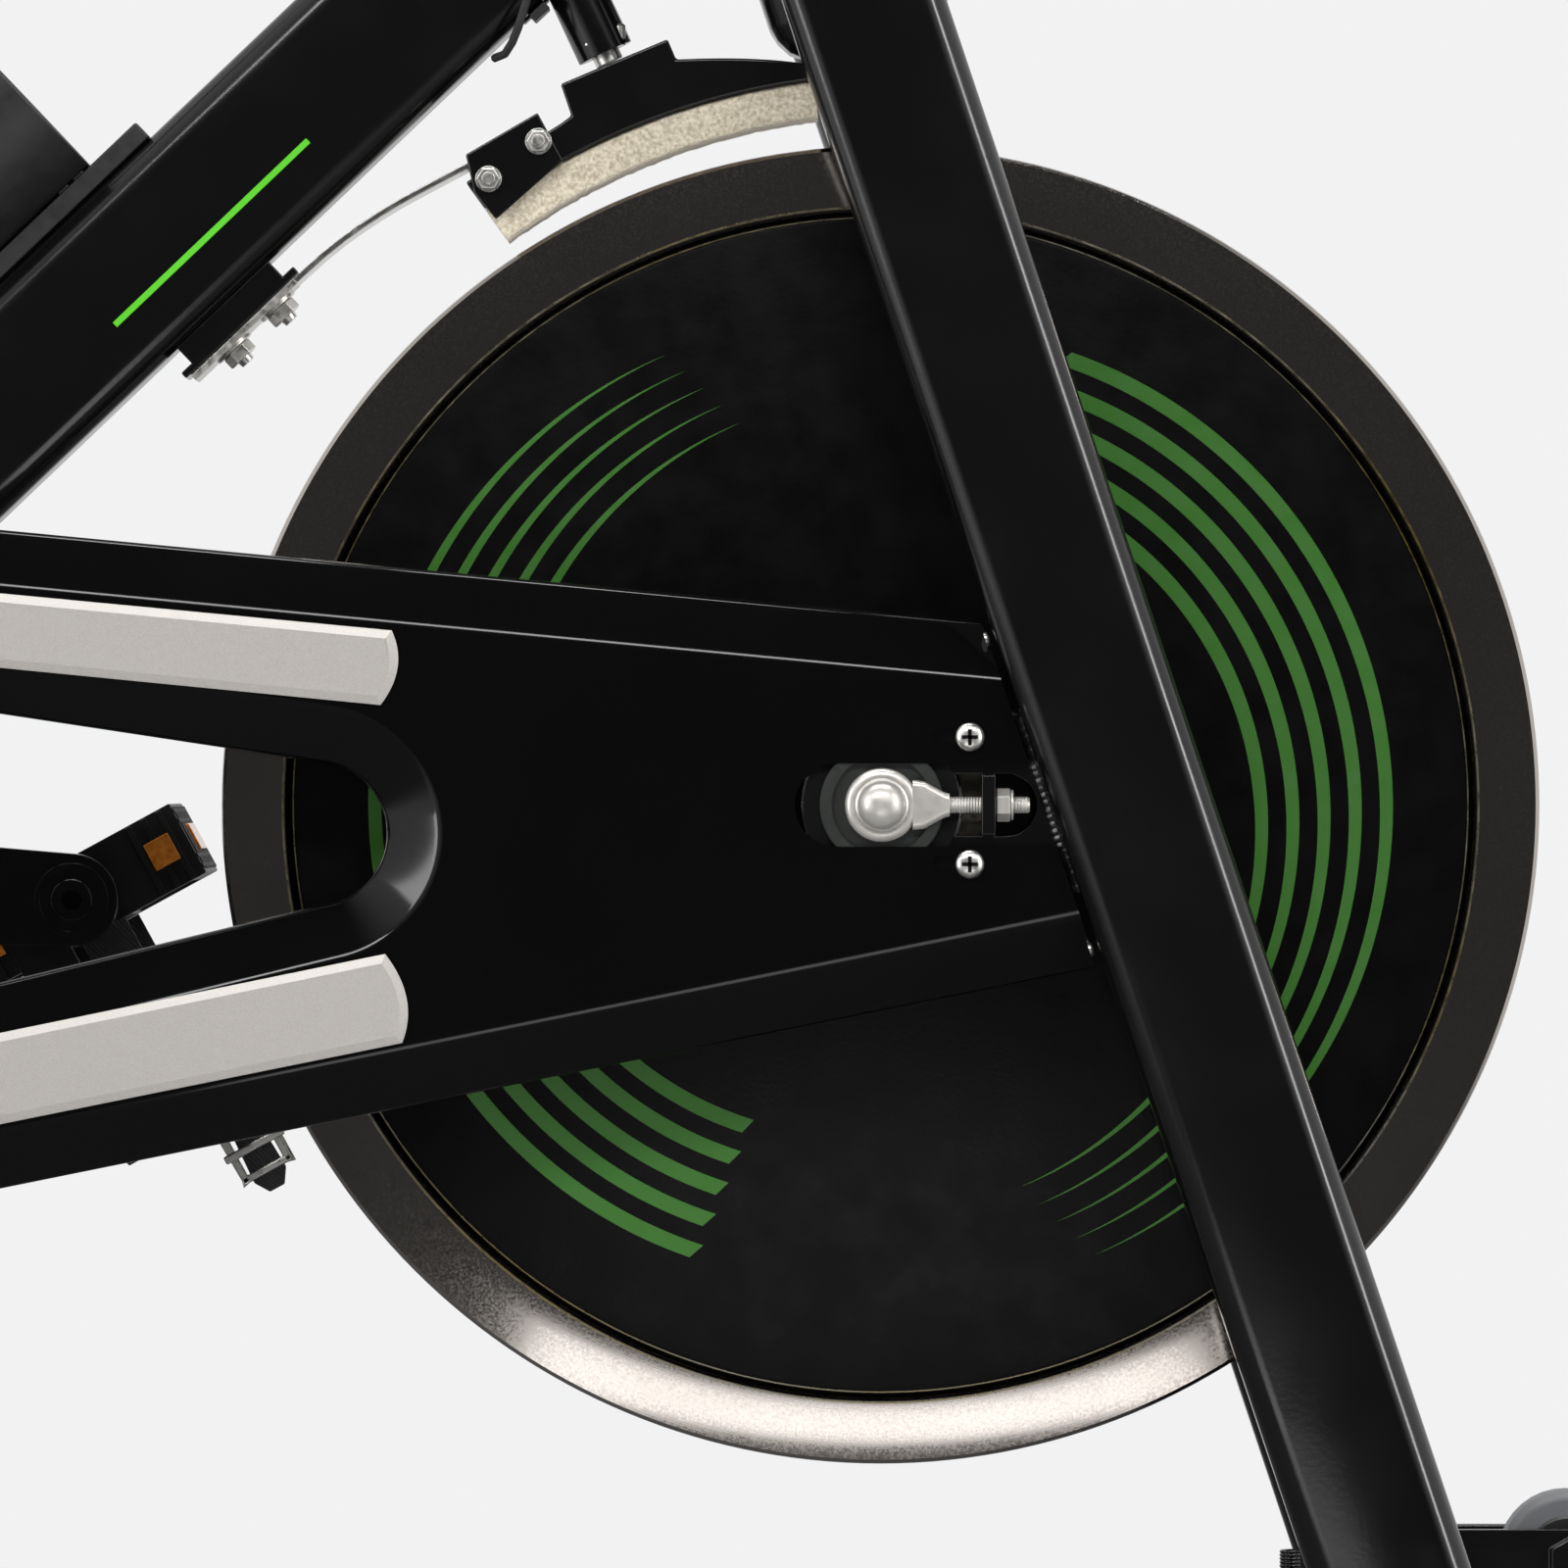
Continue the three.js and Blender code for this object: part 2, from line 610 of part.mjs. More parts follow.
// ---------------------------------------------------------------- chain guard
const guardNormal = FORK_LEAN; // direction of the guard's front end, parallel to the legs
const guardFrontDistance = -LEG.deep / 2 - GUARD_FRONT_GAP;
function guardFrontPoint(z, inset = 0) {
  const base = forkPoint((z - HEAD[1]) / Math.cos(FORK_LEAN * DEG));
  return [base[0] + (guardFrontDistance - inset) / Math.cos(guardNormal * DEG), z];
}
const guardTopAngle = tangentAngle(guardFrontPoint(GUARD_TOP_Z), CRANK, GUARD_R, 1);
const guardBottomAngle = tangentAngle(guardFrontPoint(GUARD_BOTTOM_Z), CRANK, GUARD_R, -1);

// Where two lines cross, each given as the direction of its normal and its distance from the crank axis.
function crossing([a, p], [b, q]) {
  const det = Math.sin((b - a) * DEG);
  return [
    CRANK[0] + (p * Math.sin(b * DEG) - q * Math.sin(a * DEG)) / det,
    CRANK[1] + (q * Math.cos(a * DEG) - p * Math.cos(b * DEG)) / det,
  ];
}
const frontPlaneDistance =
  (HEAD[0] - CRANK[0]) * Math.cos(guardNormal * DEG) +
  (HEAD[1] - CRANK[1]) * Math.sin(guardNormal * DEG) +
  guardFrontDistance;

// The guard's outline; its front end is cut square, so the bevel leaves that edge alone.
function guardOutline(inset, bevel) {
  const shape = new THREE.Shape();
  const radius = GUARD_R - inset - bevel;
  const front = [guardNormal, frontPlaneDistance - inset];
  const top = crossing([guardTopAngle, radius], front);
  const bottom = crossing([guardBottomAngle, radius], front);
  shape.moveTo(...bottom);
  shape.lineTo(...top);
  shape.absarc(...CRANK, radius, guardTopAngle * DEG, (guardBottomAngle + 360) * DEG);
  return shape;
}

// The first point at `radius` from the crank axis on a line that starts at `from`.
function reach(from, angle, radius) {
  const dx = from[0] - CRANK[0];
  const dz = from[1] - CRANK[1];
  const along = dx * Math.cos(angle * DEG) + dz * Math.sin(angle * DEG);
  const root = Math.sqrt(along * along - (dx * dx + dz * dz - radius * radius));
  return onLine(from, angle, -along - root);
}

// The window between the arms; its bevel is narrower along the round rear edge.
function windowOutline(inset, bevel) {
  const r = WINDOW_R + inset + bevel;
  const rearR = WINDOW_REAR_R - inset - bevel * WINDOW_REAR_BEVEL;
  const topNormal = 90 - WINDOW_TOP_SLOPE;
  const bottomNormal = WINDOW_BOTTOM_SLOPE - 90;
  const topRear = reach(onLine(WINDOW_CENTRE, topNormal, r), 180 - WINDOW_TOP_SLOPE, rearR);
  const bottomRear = reach(onLine(WINDOW_CENTRE, bottomNormal, r), 180 + WINDOW_BOTTOM_SLOPE, rearR);
  const angleOf = ([x, z]) => Math.atan2(z - CRANK[1], x - CRANK[0]);
  const path = new THREE.Path();
  path.moveTo(...bottomRear);
  path.absarc(...WINDOW_CENTRE, r, bottomNormal * DEG, topNormal * DEG);
  path.lineTo(...topRear);
  path.absarc(...CRANK, rearR, angleOf(topRear), angleOf(bottomRear), true);
  return path;
}

// A solid whose outline in X and Z changes from layer to layer; each layer is [y, points].
function layered(layers) {
  const rings = layers.map(([y, points]) => points.map((p) => [p.x, y, p.y]));
  const count = rings[0].length;
  const index = [];
  for (let k = 0; k + 1 < rings.length; k++)
    for (let i = 0; i < count; i++) {
      const [a, b] = [k * count + i, k * count + ((i + 1) % count)];
      index.push(a, a + count, b, a + count, b + count, b);
    }
  const last = (rings.length - 1) * count;
  for (const [a, b, c] of THREE.ShapeUtils.triangulateShape(layers[0][1], [])) {
    index.push(a, b, c);
  }
  for (const [a, b, c] of THREE.ShapeUtils.triangulateShape(layers.at(-1)[1], [])) {
    index.push(last + a, last + c, last + b);
  }
  return new THREE.BufferGeometry()
    .setAttribute("position", new THREE.Float32BufferAttribute(rings.flat(2), 3))
    .setIndex(index);
}

function outlinePoints(path) {
  const points = path.getPoints(11).filter((p, i, all) => p.distanceTo(all.at(i - 1)) > 1e-3);
  return THREE.ShapeUtils.isClockWise(points) ? points.reverse() : points;
}

// A block of the guard's outline from its face at faceY to endY, bevelled at the face.
function guardBlock(inset, faceY, endY, bevel, bevelDepth) {
  const inward = Math.sign(endY - faceY);
  const levels = (outline) =>
    [
      [faceY - inward, bevel],
      [faceY, bevel],
      [faceY + inward * bevelDepth, 0],
      [endY, 0],
    ].map(([y, more]) => [y, outlinePoints(outline(inset, more))]);
  const upwards = (layers) => (inward > 0 ? layers : [...layers].reverse());
  const body = layered(upwards(levels(guardOutline).slice(1)));
  const hole = levels(windowOutline);
  hole.push([endY + inward, hole.at(-1)[1]]);
  return cut(body, layered(upwards(hole)));
}

const guardChannel = slab(
  slotShape(new THREE.Shape(), SLOT_REAR_X - 2, 160, SLOT_HALF_HEIGHT + 3.6),
  -GUARD_FACE_Y - 5,
  -BRACKET_Y + 2,
  8,
);
const bracketNotch = box(
  BRACKET_REAR_X - GAP,
  160,
  -BRACKET_Y - BRACKET_THICKNESS - GAP,
  -BRACKET_Y + GAP,
  -BRACKET_HALF_HEIGHT - GAP,
  BRACKET_HALF_HEIGHT + GAP,
);
const crankHole = rodY(CRANK, 30, -GUARD_FACE_Y - 5, -GUARD_FACE_Y + 12, 36);
place(
  frame,
  "chain_guard_outer",
  cut(
    guardBlock(0, -GUARD_FACE_Y, -GUARD_SPLIT_Y - GAP, GUARD_BEVEL, GUARD_BEVEL_DEPTH),
    guardBlock(GUARD_WALL, -GUARD_FACE_Y + GUARD_WALL, -GUARD_SPLIT_Y + 8, GUARD_BEVEL, GUARD_BEVEL_DEPTH),
    guardChannel,
    bracketNotch,
    crankHole,
  ),
  glossBlack,
);
const hubClearance = rodY([0, 0], HUB_R + 6, -GUARD_BACK_Y - 12, -GUARD_BACK_Y + 5, 32);
const shellClearance = rodY(CRANK, SHELL_R + 1, -GUARD_BACK_Y - 12, -GUARD_BACK_Y + 5, 32);
place(
  frame,
  "chain_guard_inner",
  cut(
    guardBlock(0, -GUARD_BACK_Y, -GUARD_SPLIT_Y, GUARD_BACK_BEVEL, GUARD_BACK_BEVEL),
    guardBlock(GUARD_WALL, -GUARD_BACK_Y - GUARD_WALL, -GUARD_SPLIT_Y - 8, GUARD_BACK_BEVEL, GUARD_BACK_BEVEL),
    hubClearance,
    shellClearance,
  ),
  satinBlack,
);

// Two silver strips on the guard's arms, each between the outer and the inner bevel.
function trimOutline(side) {
  const shape = new THREE.Shape();
  const outerNormal = side > 0 ? guardTopAngle : guardBottomAngle;
  const innerSlope = side > 0 ? 180 - WINDOW_TOP_SLOPE + 3 : 180 + WINDOW_BOTTOM_SLOPE - 2;
  const outerLine = onLine(CRANK, outerNormal, GUARD_R - GUARD_BEVEL - 3);
  const forward = outerNormal - side * 90;
  const end = (-CRANK[0] - 172) / Math.cos(forward * DEG);
  const outerFront = onLine(outerLine, forward, end);
  const outerRear = onLine(outerLine, forward, 20);
  const innerStart = onLine(WINDOW_CENTRE, side * 90, WINDOW_R + GUARD_BEVEL + 3);
  const innerFront = onLine(innerStart, innerSlope - 180, 20);
  const innerRear = onLine(innerStart, innerSlope, 150);
  shape.moveTo(...outerRear);
  shape.lineTo(...outerFront);
  shape.quadraticCurveTo(outerFront[0] + 6, (outerFront[1] + innerFront[1]) / 2, ...innerFront);
  shape.lineTo(...innerRear);
  return shape;
}
for (const [name, side] of [
  ["guard_trim_upper", 1],
  ["guard_trim_lower", -1],
])
  place(
    frame,
    name,
    slab(trimOutline(side), -GUARD_FACE_Y - GAP - TRIM_THICKNESS, -GUARD_FACE_Y - GAP, 6),
    silverPaint,
  );

// ---------------------------------------------------------------- cranks
const crank = new THREE.Group();
crank.position.set(CRANK[0], 0, CRANK[1]);
bike.add(crank);
const spindleHalf = CRANK_INNER_Y + CRANK_THICKNESS;
place(crank, "crank_spindle", rodY([0, 0], SPINDLE_R, -spindleHalf + 2, spindleHalf - 2, 24), steel);
const spiderInner = SHELL_HALF_LENGTH + GAP;
place(
  crank,
  "chainring",
  turned(
    [
      [SPINDLE_R + GAP, -CRANK_INNER_Y + GAP],
      [18, -CRANK_INNER_Y + GAP],
      [18, CHAIN_Y - 2],
      [chainringR - toothDrop, CHAIN_Y - 1.5],
      [chainringR - toothDrop, CHAIN_Y + 1.5],
      [18, CHAIN_Y + 2],
      [18, -spiderInner - 1],
      [SPINDLE_R + GAP, -spiderInner - 1],
    ],
    44,
  ),
  glossBlack,
);

function crankOutline() {
  const shape = new THREE.Shape();
  const lean = Math.asin((CRANK_BOSS_R - CRANK_END_R) / CRANK_LENGTH);
  shape.absarc(0, 0, CRANK_BOSS_R, 90 * DEG - lean, 270 * DEG + lean);
  shape.absarc(CRANK_LENGTH, 0, CRANK_END_R, -90 * DEG + lean, 90 * DEG - lean);
  return shape;
}
for (const { side, sign } of sides) {
  const [low, high] = span(sign, CRANK_INNER_Y, CRANK_INNER_Y + CRANK_THICKNESS);
  const outer = CRANK_INNER_Y + CRANK_THICKNESS;
  const end = [CRANK_LENGTH, 0];
  const arm = cut(
    join(
      slab(crankOutline(), low, high, 12),
      rodY(end, PEDAL_AXLE_R, ...span(sign, CRANK_INNER_Y + 1, outer + PEDAL_WIDTH), 20),
      rodY(end, 11, ...span(sign, outer - 1, outer + 1.2), 20),
    ),
    rodY([0, 0], SPINDLE_R + GAP, low - 1, high + 1),
  );
  const throwAngle = CRANK_ANGLE + (sign > 0 ? 0 : 180);
  const armMesh = place(crank, "crank_arm_" + side, arm, glossBlack);
  armMesh.rotation.y = -throwAngle * DEG;

  // The pedal's own frame has its toe end along +X and the rider's sole above it.
  const pedal = new THREE.Group();
  pedal.position.set(...at3(onLine([0, 0], throwAngle, CRANK_LENGTH)));
  pedal.rotation.y = -PEDAL_TILT * DEG;
  crank.add(pedal);
  const [inner, tip] = span(sign, outer + 5, outer + 5 + PEDAL_WIDTH);
  const half = PEDAL_LENGTH / 2;
  const cageZ = PEDAL_HEIGHT / 2;
  const barrel = 14;
  const opening = (x0, x1) => box(x0, x1, inner + 9, tip - 9, -50, 50);
  place(
    pedal,
    "pedal_" + side,
    cut(
      join(
        box(-half, half, inner, tip, -cageZ, cageZ),
        rodY([0, 0], barrel, inner, tip, 24),
      ),
      opening(-half + 7, -barrel - 1),
      opening(barrel + 1, half - 7),
      rodY([0, 0], PEDAL_AXLE_R + 0.4, inner - 1, tip + 1, 20),
    ),
    plastic,
  );
  // Toe cage: a bent strip from the pedal's toe end, forward and back over the shoe.
  const bend = new THREE.CatmullRomCurve3(
    [
      [half + 2.5, -6],
      [half + 16, 14],
      [half + 26, 46],
      [half + 8, 74],
      [half - 26, CAGE_HEIGHT - 4],
      [4, CAGE_HEIGHT],
    ].map(([x, z]) => new THREE.Vector3(x, (inner + tip) / 2, z)),
  );
  const toeCage = stripAlong(bend, 18, 1.6, 32);
  // Strap: a loop round the pedal's middle and over the shoe.
  const strapHalf = (tip - inner) / 2 + 3.5;
  const strapShape = strapOutline(new THREE.Shape(), strapHalf, cageZ + 3.5, CAGE_HEIGHT + 0.8);
  strapShape.holes.push(strapOutline(new THREE.Path(), strapHalf - 2.2, cageZ + 1.3, CAGE_HEIGHT - 1.4));
  const strap = new THREE.ExtrudeGeometry(strapShape, { depth: 20, bevelEnabled: false, curveSegments: 8 })
    .rotateX(90 * DEG)
    .rotateZ(90 * DEG)
    .translate(9, (inner + tip) / 2, 0);
  place(pedal, "toe_cage_" + side, join(toeCage, strap), plastic);
}

// The strap's loop, flat across the top of the shoe.
function strapOutline(path, half, under, top) {
  const shoulder = top - 14;
  path.moveTo(-half, -under);
  path.lineTo(half, -under);
  path.lineTo(half, shoulder);
  path.quadraticCurveTo(half, top, half - 14, top);
  path.lineTo(14 - half, top);
  path.quadraticCurveTo(-half, top, -half, shoulder);
  return path;
}

// A strip of even thickness along a curve in X and Z, `halfWidth` to each side along Y.
function stripAlong(curve, steps, halfThickness, halfWidth) {
  const points = curve.getPoints(steps);
  const edge = (sign) =>
    points.map((p, i) => {
      const t = curve.getTangent(i / steps);
      return [p.x - sign * halfThickness * t.z, p.z + sign * halfThickness * t.x];
    });
  const outline = polygon([...edge(1), ...edge(-1).reverse()]);
  return slab(outline, points[0].y - halfWidth, points[0].y + halfWidth);
}

// ---------------------------------------------------------------- stabilisers, castors and levelling feet
const tubeFloor = STABILIZER_TOP - STABILIZER.wide;
const tubeMiddle = (STABILIZER_TOP + tubeFloor) / 2;

// A stretch along Y of the stabiliser's section, `smaller` all round, at X.
function stabilizerSection(x, smaller, y0, y1, hollow = false) {
  const { deep, wide, round, wall } = STABILIZER;
  const shape = new THREE.Shape();
  tracePath(shape, deep - 2 * smaller, wide - 2 * smaller, round - smaller);
  if (hollow) shape.holes.push(tracePath(new THREE.Path(), deep - 2 * wall, wide - 2 * wall, round - wall));
  return slab(shape, y0, y1, 3).translate(x, 0, tubeMiddle);
}

for (const [end, x, plateHalfX, plateHalfY] of [
  ["front", FRONT_STABILIZER_X, 40, LEG_Y + 26],
  ["rear", rearStabilizerX, 44, MAIN.wide / 2 + 14],
]) {
  const studHole = (y) => rod([x, y, tubeFloor - 5], [x, y, tubeFloor + 5], FOOT_STUD_R + GAP, 16);
  const tube = join(
    stabilizerSection(x, 0, -STABILIZER_HALF, STABILIZER_HALF, true),
    box(
      x - plateHalfX,
      x + plateHalfX,
      -plateHalfY,
      plateHalfY,
      STABILIZER_TOP - 1,
      STABILIZER_TOP + FOOT_PLATE,
    ),
    ...sides.flatMap(({ sign }) => [
      stabilizerSection(x, -1, ...span(sign, STABILIZER_HALF - 1, STABILIZER_HALF + 6)),
      stabilizerSection(x, STABILIZER.wall - 0.5, ...span(sign, STABILIZER_HALF - 12, STABILIZER_HALF + 2)),
    ]),
  );
  place(frame, end + "_stabilizer", cut(tube, studHole(FOOT_Y), studHole(-FOOT_Y)), glossBlack);
  for (const { side, sign } of sides) {
    // Levelling foot: a moulded pad on a screw that turns in the tube's lower wall.
    const foot = new THREE.Group();
    foot.position.set(x, sign * FOOT_Y, -AXLE_HEIGHT);
    bike.add(foot);
    const padTop = tubeFloor + AXLE_HEIGHT - 2;
    const profile = [
      [0, 0],
      [FOOT_R - 1.5, 0],
      [FOOT_R, 1.5],
      [FOOT_R, 9],
      [FOOT_R - 6, 13],
      [9, 13],
      [9, padTop],
      [FOOT_STUD_R, padTop],
      [FOOT_STUD_R, padTop + 26],
      [0, padTop + 26],
    ];
    place(foot, end + "_foot_" + side, turned(profile, 16).rotateX(90 * DEG), rubber);
  }
}

for (const { side, sign } of sides) {
  const front = FRONT_STABILIZER_X + STABILIZER.deep / 2 + GAP;
  const [low, high] = span(sign, CASTOR_Y - CASTOR_WIDTH / 2 - 8, CASTOR_Y + CASTOR_WIDTH / 2 + 8);
  const cheeks = cut(
    join(
      box(front, CASTOR[0] + 11, low, high, CASTOR[1] - 13, CASTOR[1] + 11),
      box(front, front + 4, low, high, STABILIZER_TOP - 38, CASTOR[1] + 11),
    ),
    box(front + 4, CASTOR[0] + 40, low + 4, high - 4, -400, 0),
  );
  const bolt = join(
    rodY(CASTOR, CASTOR_AXLE_R, low - 2, high + 2, 16),
    rodY(CASTOR, 8, low - 5, low + 1, 6),
    rodY(CASTOR, 8, high - 1, high + 4, 20),
  );
  place(frame, "castor_bracket_" + side, join(cheeks, bolt), glossBlack);
  const castor = new THREE.Group();
  castor.position.set(CASTOR[0], sign * CASTOR_Y, CASTOR[1]);
  bike.add(castor);
  place(
    castor,
    "castor_wheel_" + side,
    turned(
      [
        [CASTOR_AXLE_R + GAP, -CASTOR_WIDTH / 2],
        [CASTOR_R - 3, -CASTOR_WIDTH / 2],
        [CASTOR_R, -CASTOR_WIDTH / 2 + 3],
        [CASTOR_R, CASTOR_WIDTH / 2 - 3],
        [CASTOR_R - 3, CASTOR_WIDTH / 2],
        [CASTOR_AXLE_R + GAP, CASTOR_WIDTH / 2],
      ],
      36,
    ),
    rubber,
  );
}

// ---------------------------------------------------------------- seat post, slide and saddle
function sleeve(point, top, tube, post) {
  const inner = solidSection(tube, -tube.wall - GAP);
  const collar = solidSection(tube, 3);
  return cut(
    join(
      bar(point(top - SLEEVE_DEPTH), point(top + GAP + 1), inner),
      bar(point(top + GAP), point(top + SLEEVE_COLLAR), collar),
    ),
    bar(point(top - SLEEVE_DEPTH - 5), point(top + SLEEVE_COLLAR + 5), solidSection(post, SLIDE_CLEARANCE)),
  );
}
place(frame, "seat_tube_sleeve", sleeve(seatPoint, SEAT_TUBE_LENGTH, SEAT_TUBE, SEAT_POST), plastic);
place(frame, "head_tube_sleeve", sleeve(forkPoint, HEAD_TOP, HEAD_TUBE, BAR_POST), plastic);

const seat = new THREE.Group();
bike.add(seat);
const postTop = seatPoint(SEAT_POST_BOTTOM + SEAT_POST_LENGTH);
const slideZ = postTop[1] + 6 + SLIDE_BAR.deep / 2;
const slideX = postTop[0] + 8;
const slideSleeve = { deep: SLIDE_BAR.deep + 7, wide: SLIDE_BAR.wide + 7, round: 7 };
const postCut = box(-2000, 2000, -500, 500, slideZ - slideSleeve.deep / 2 + 1, 4000);
const seatPostLine = [seatPoint(SEAT_POST_BOTTOM), seatPoint(SEAT_POST_BOTTOM + SEAT_POST_LENGTH + 60)];
place(
  seat,
  "seat_post",
  cut(
    join(
      cut(bar(...seatPostLine, SEAT_POST), postCut),
      bar([slideX + SLIDE_SLEEVE[0], slideZ], [slideX + SLIDE_SLEEVE[1], slideZ], slideSleeve),
    ),
    bar([slideX - 90, slideZ], [slideX + 90, slideZ], solidSection(SLIDE_BAR, SLIDE_CLEARANCE)),
    rod([slideX + SLIDE_PIN_X, 0, slideZ - 60], [slideX + SLIDE_PIN_X, 0, slideZ], PIN_R + GAP, 16),
  ),
  chrome,
);

const saddle = new THREE.Group();
bike.add(saddle);
// The saddle stands on a clamp post at the back of its slide bar.
const clampX = slideX - SLIDE_BAR_REAR + 18;
const barTop = slideZ + SLIDE_BAR.deep / 2;
place(
  saddle,
  "saddle_slide_bar",
  join(
    bar([slideX - SLIDE_BAR_REAR, slideZ], [slideX + SLIDE_BAR_FRONT, slideZ], SLIDE_BAR),
    rod([clampX, 0, barTop - 1], [clampX, 0, barTop + 34], 12.7, 24),
    box(clampX - 20, clampX + 22, -30, 30, barTop + 24, barTop + 40),
  ),
  chrome,
);
const saddleZ = barTop + 40 + GAP;
const saddleX = clampX + 21;
function saddleOutline(grow) {
  const rear = -SADDLE_LENGTH * 0.42 - grow;
  const nose = SADDLE_LENGTH * 0.58 + grow;
  const half = SADDLE_WIDTH / 2 + grow;
  const shape = new THREE.Shape();
  shape.moveTo(nose, 0);
  shape.bezierCurveTo(nose, 24, nose - 30, 26, nose - 70, 28);
  shape.bezierCurveTo(nose - 110, 34, rear + 110, half, rear + 50, half);
  shape.bezierCurveTo(rear + 10, half, rear, half * 0.6, rear, 0);
  shape.bezierCurveTo(rear, -half * 0.6, rear + 10, -half, rear + 50, -half);
  shape.bezierCurveTo(rear + 110, -half, nose - 110, -34, nose - 70, -28);
  shape.bezierCurveTo(nose - 30, -26, nose, -24, nose, 0);
  return shape;
}
function saddleLayer(grow, z0, z1) {
  return new THREE.ExtrudeGeometry(saddleOutline(grow), {
    depth: z1 - z0,
    bevelEnabled: false,
    curveSegments: 8,
  }).translate(saddleX, 0, z0);
}
place(saddle, "saddle_base", saddleLayer(-8, saddleZ, saddleZ + 16), plastic);
place(saddle, "saddle_cushion", saddleLayer(0, saddleZ + 16 + GAP, saddleZ + 62), vinyl);

// ---------------------------------------------------------------- handlebar
const handlebar = new THREE.Group();
bike.add(handlebar);
const barPostTop = forkPoint(BAR_POST_BOTTOM + BAR_POST_LENGTH);
const clampZ = barPostTop[1] + BAR_R + 8;
const barX = barPostTop[0] + 6;
const barPostLine = [forkPoint(BAR_POST_BOTTOM), forkPoint(BAR_POST_BOTTOM + BAR_POST_LENGTH + 40)];
place(
  handlebar,
  "handlebar_post",
  cut(
    join(
      cut(bar(...barPostLine, BAR_POST), box(-1000, 1000, -300, 300, barPostTop[1], 3000)),
      box(barX - 26, barX + 26, -34, 34, barPostTop[1] - 1, clampZ + BAR_R + 6),
    ),
    rodY([barX, clampZ], BAR_R + GAP, -60, 60, 28),
  ),
  chrome,
);

// A round tube along a smooth line through the given points.
function roundTube(points, radius, steps, sides = 12) {
  const route = new THREE.CatmullRomCurve3(points.map((p) => new THREE.Vector3(...p)), false, "centripetal");
  const section = new THREE.Shape();
  section.absarc(0, 0, radius, 0, 360 * DEG);
  return new THREE.ExtrudeGeometry(section, { steps, extrudePath: route, curveSegments: sides / 2 });
}
const loopX = barX + BAR_R - 6;
const bullhorn = roundTube(
  [
    [barX + 165, -BAR_HALF_WIDTH, clampZ + 42],
    [barX + 120, -BAR_HALF_WIDTH - 2, clampZ + 26],
    [barX + 50, -BAR_HALF_WIDTH, clampZ + 8],
    [barX + 18, -BAR_HALF_WIDTH + 12, clampZ + 2],
    [barX, -BAR_HALF_WIDTH + 48, clampZ],
    [barX, -100, clampZ],
    [barX, 0, clampZ],
    [barX, 100, clampZ],
    [barX, BAR_HALF_WIDTH - 48, clampZ],
    [barX + 18, BAR_HALF_WIDTH - 12, clampZ + 2],
    [barX + 50, BAR_HALF_WIDTH, clampZ + 8],
    [barX + 120, BAR_HALF_WIDTH + 2, clampZ + 26],
    [barX + 165, BAR_HALF_WIDTH, clampZ + 42],
  ],
  BAR_R,
  30,
);
const innerLoop = roundTube(
  [
    [loopX, -62, clampZ + 2],
    [loopX + 60, -60, clampZ + 20],
    [loopX + 120, -54, clampZ + 42],
    [loopX + 148, -30, clampZ + 54],
    [loopX + 154, 0, clampZ + 56],
    [loopX + 148, 30, clampZ + 54],
    [loopX + 120, 54, clampZ + 42],
    [loopX + 60, 60, clampZ + 20],
    [loopX, 62, clampZ + 2],
  ],
  BAR_R - 2,
  16,
);
place(handlebar, "handlebar_tube", join(bullhorn, innerLoop), rubber);
const consoleZ = clampZ + BAR_R + 6 + GAP;
place(
  handlebar,
  "console",
  cut(
    box(barX - 30, barX + 26, -46, 46, consoleZ, consoleZ + 22),
    box(barX - 60, barX - 22, -12, 12, consoleZ + 12, consoleZ + 40),
  ),
  plastic,
);
const consoleButton = new THREE.Group();
bike.add(consoleButton);
place(
  consoleButton,
  "console_button",
  box(barX - 30 + GAP, barX - 22 - GAP, -12 + GAP, 12 - GAP, consoleZ + 14.5, consoleZ + 24),
  satinBlack,
);

// ---------------------------------------------------------------- pull pins
// A pin with a round knob, from `tip` to the knob's end past a boss of length `boss`.
function pullPin([root, outward], tip, boss, knobR = KNOB_R) {
  const at = (distance) => at3(onLine(root, outward, distance));
  return join(
    rod(at(tip), at(boss + 10), PIN_R, 16),
    rod(at(boss + 1), at(boss + 14), BOSS_R - 1, 24),
    rod(at(boss + 12), at(boss + 30), knobR, 28),
  );
}
place(bike, "seat_post_knob", pullPin(seatPin, GAP, BOSS_LENGTH), plastic);
place(bike, "handlebar_post_knob", pullPin(barPin, GAP, BOSS_LENGTH), plastic);
const slidePin = [[slideX + SLIDE_PIN_X, slideZ - slideSleeve.deep / 2], -90];
place(bike, "saddle_slide_knob", pullPin(slidePin, -2.5, 2, SLIDE_KNOB_R), plastic);

// ---------------------------------------------------------------- friction brake
place(
  frame,
  "brake_guide_tube",
  cut(
    rod(
      [brakePoint(0)[0], 0, brakePoint(0)[1]],
      [brakePoint(BRAKE_TUBE_LENGTH)[0], 0, brakePoint(BRAKE_TUBE_LENGTH)[1]],
      BRAKE_TUBE_R,
      24,
    ),
    rod(
      [brakePoint(-5)[0], 0, brakePoint(-5)[1]],
      [brakePoint(BRAKE_TUBE_LENGTH + 5)[0], 0, brakePoint(BRAKE_TUBE_LENGTH + 5)[1]],
      ROD_R + GAP,
      20,
    ),
  ),
  glossBlack,
);
place(
  bike,
  "brake_rod",
  rod(at3(brakePoint(-3.6)), at3(brakePoint(BRAKE_TUBE_LENGTH + 34)), ROD_R, 20),
  steel,
);
const knobBase = BRAKE_TUBE_LENGTH + 12;
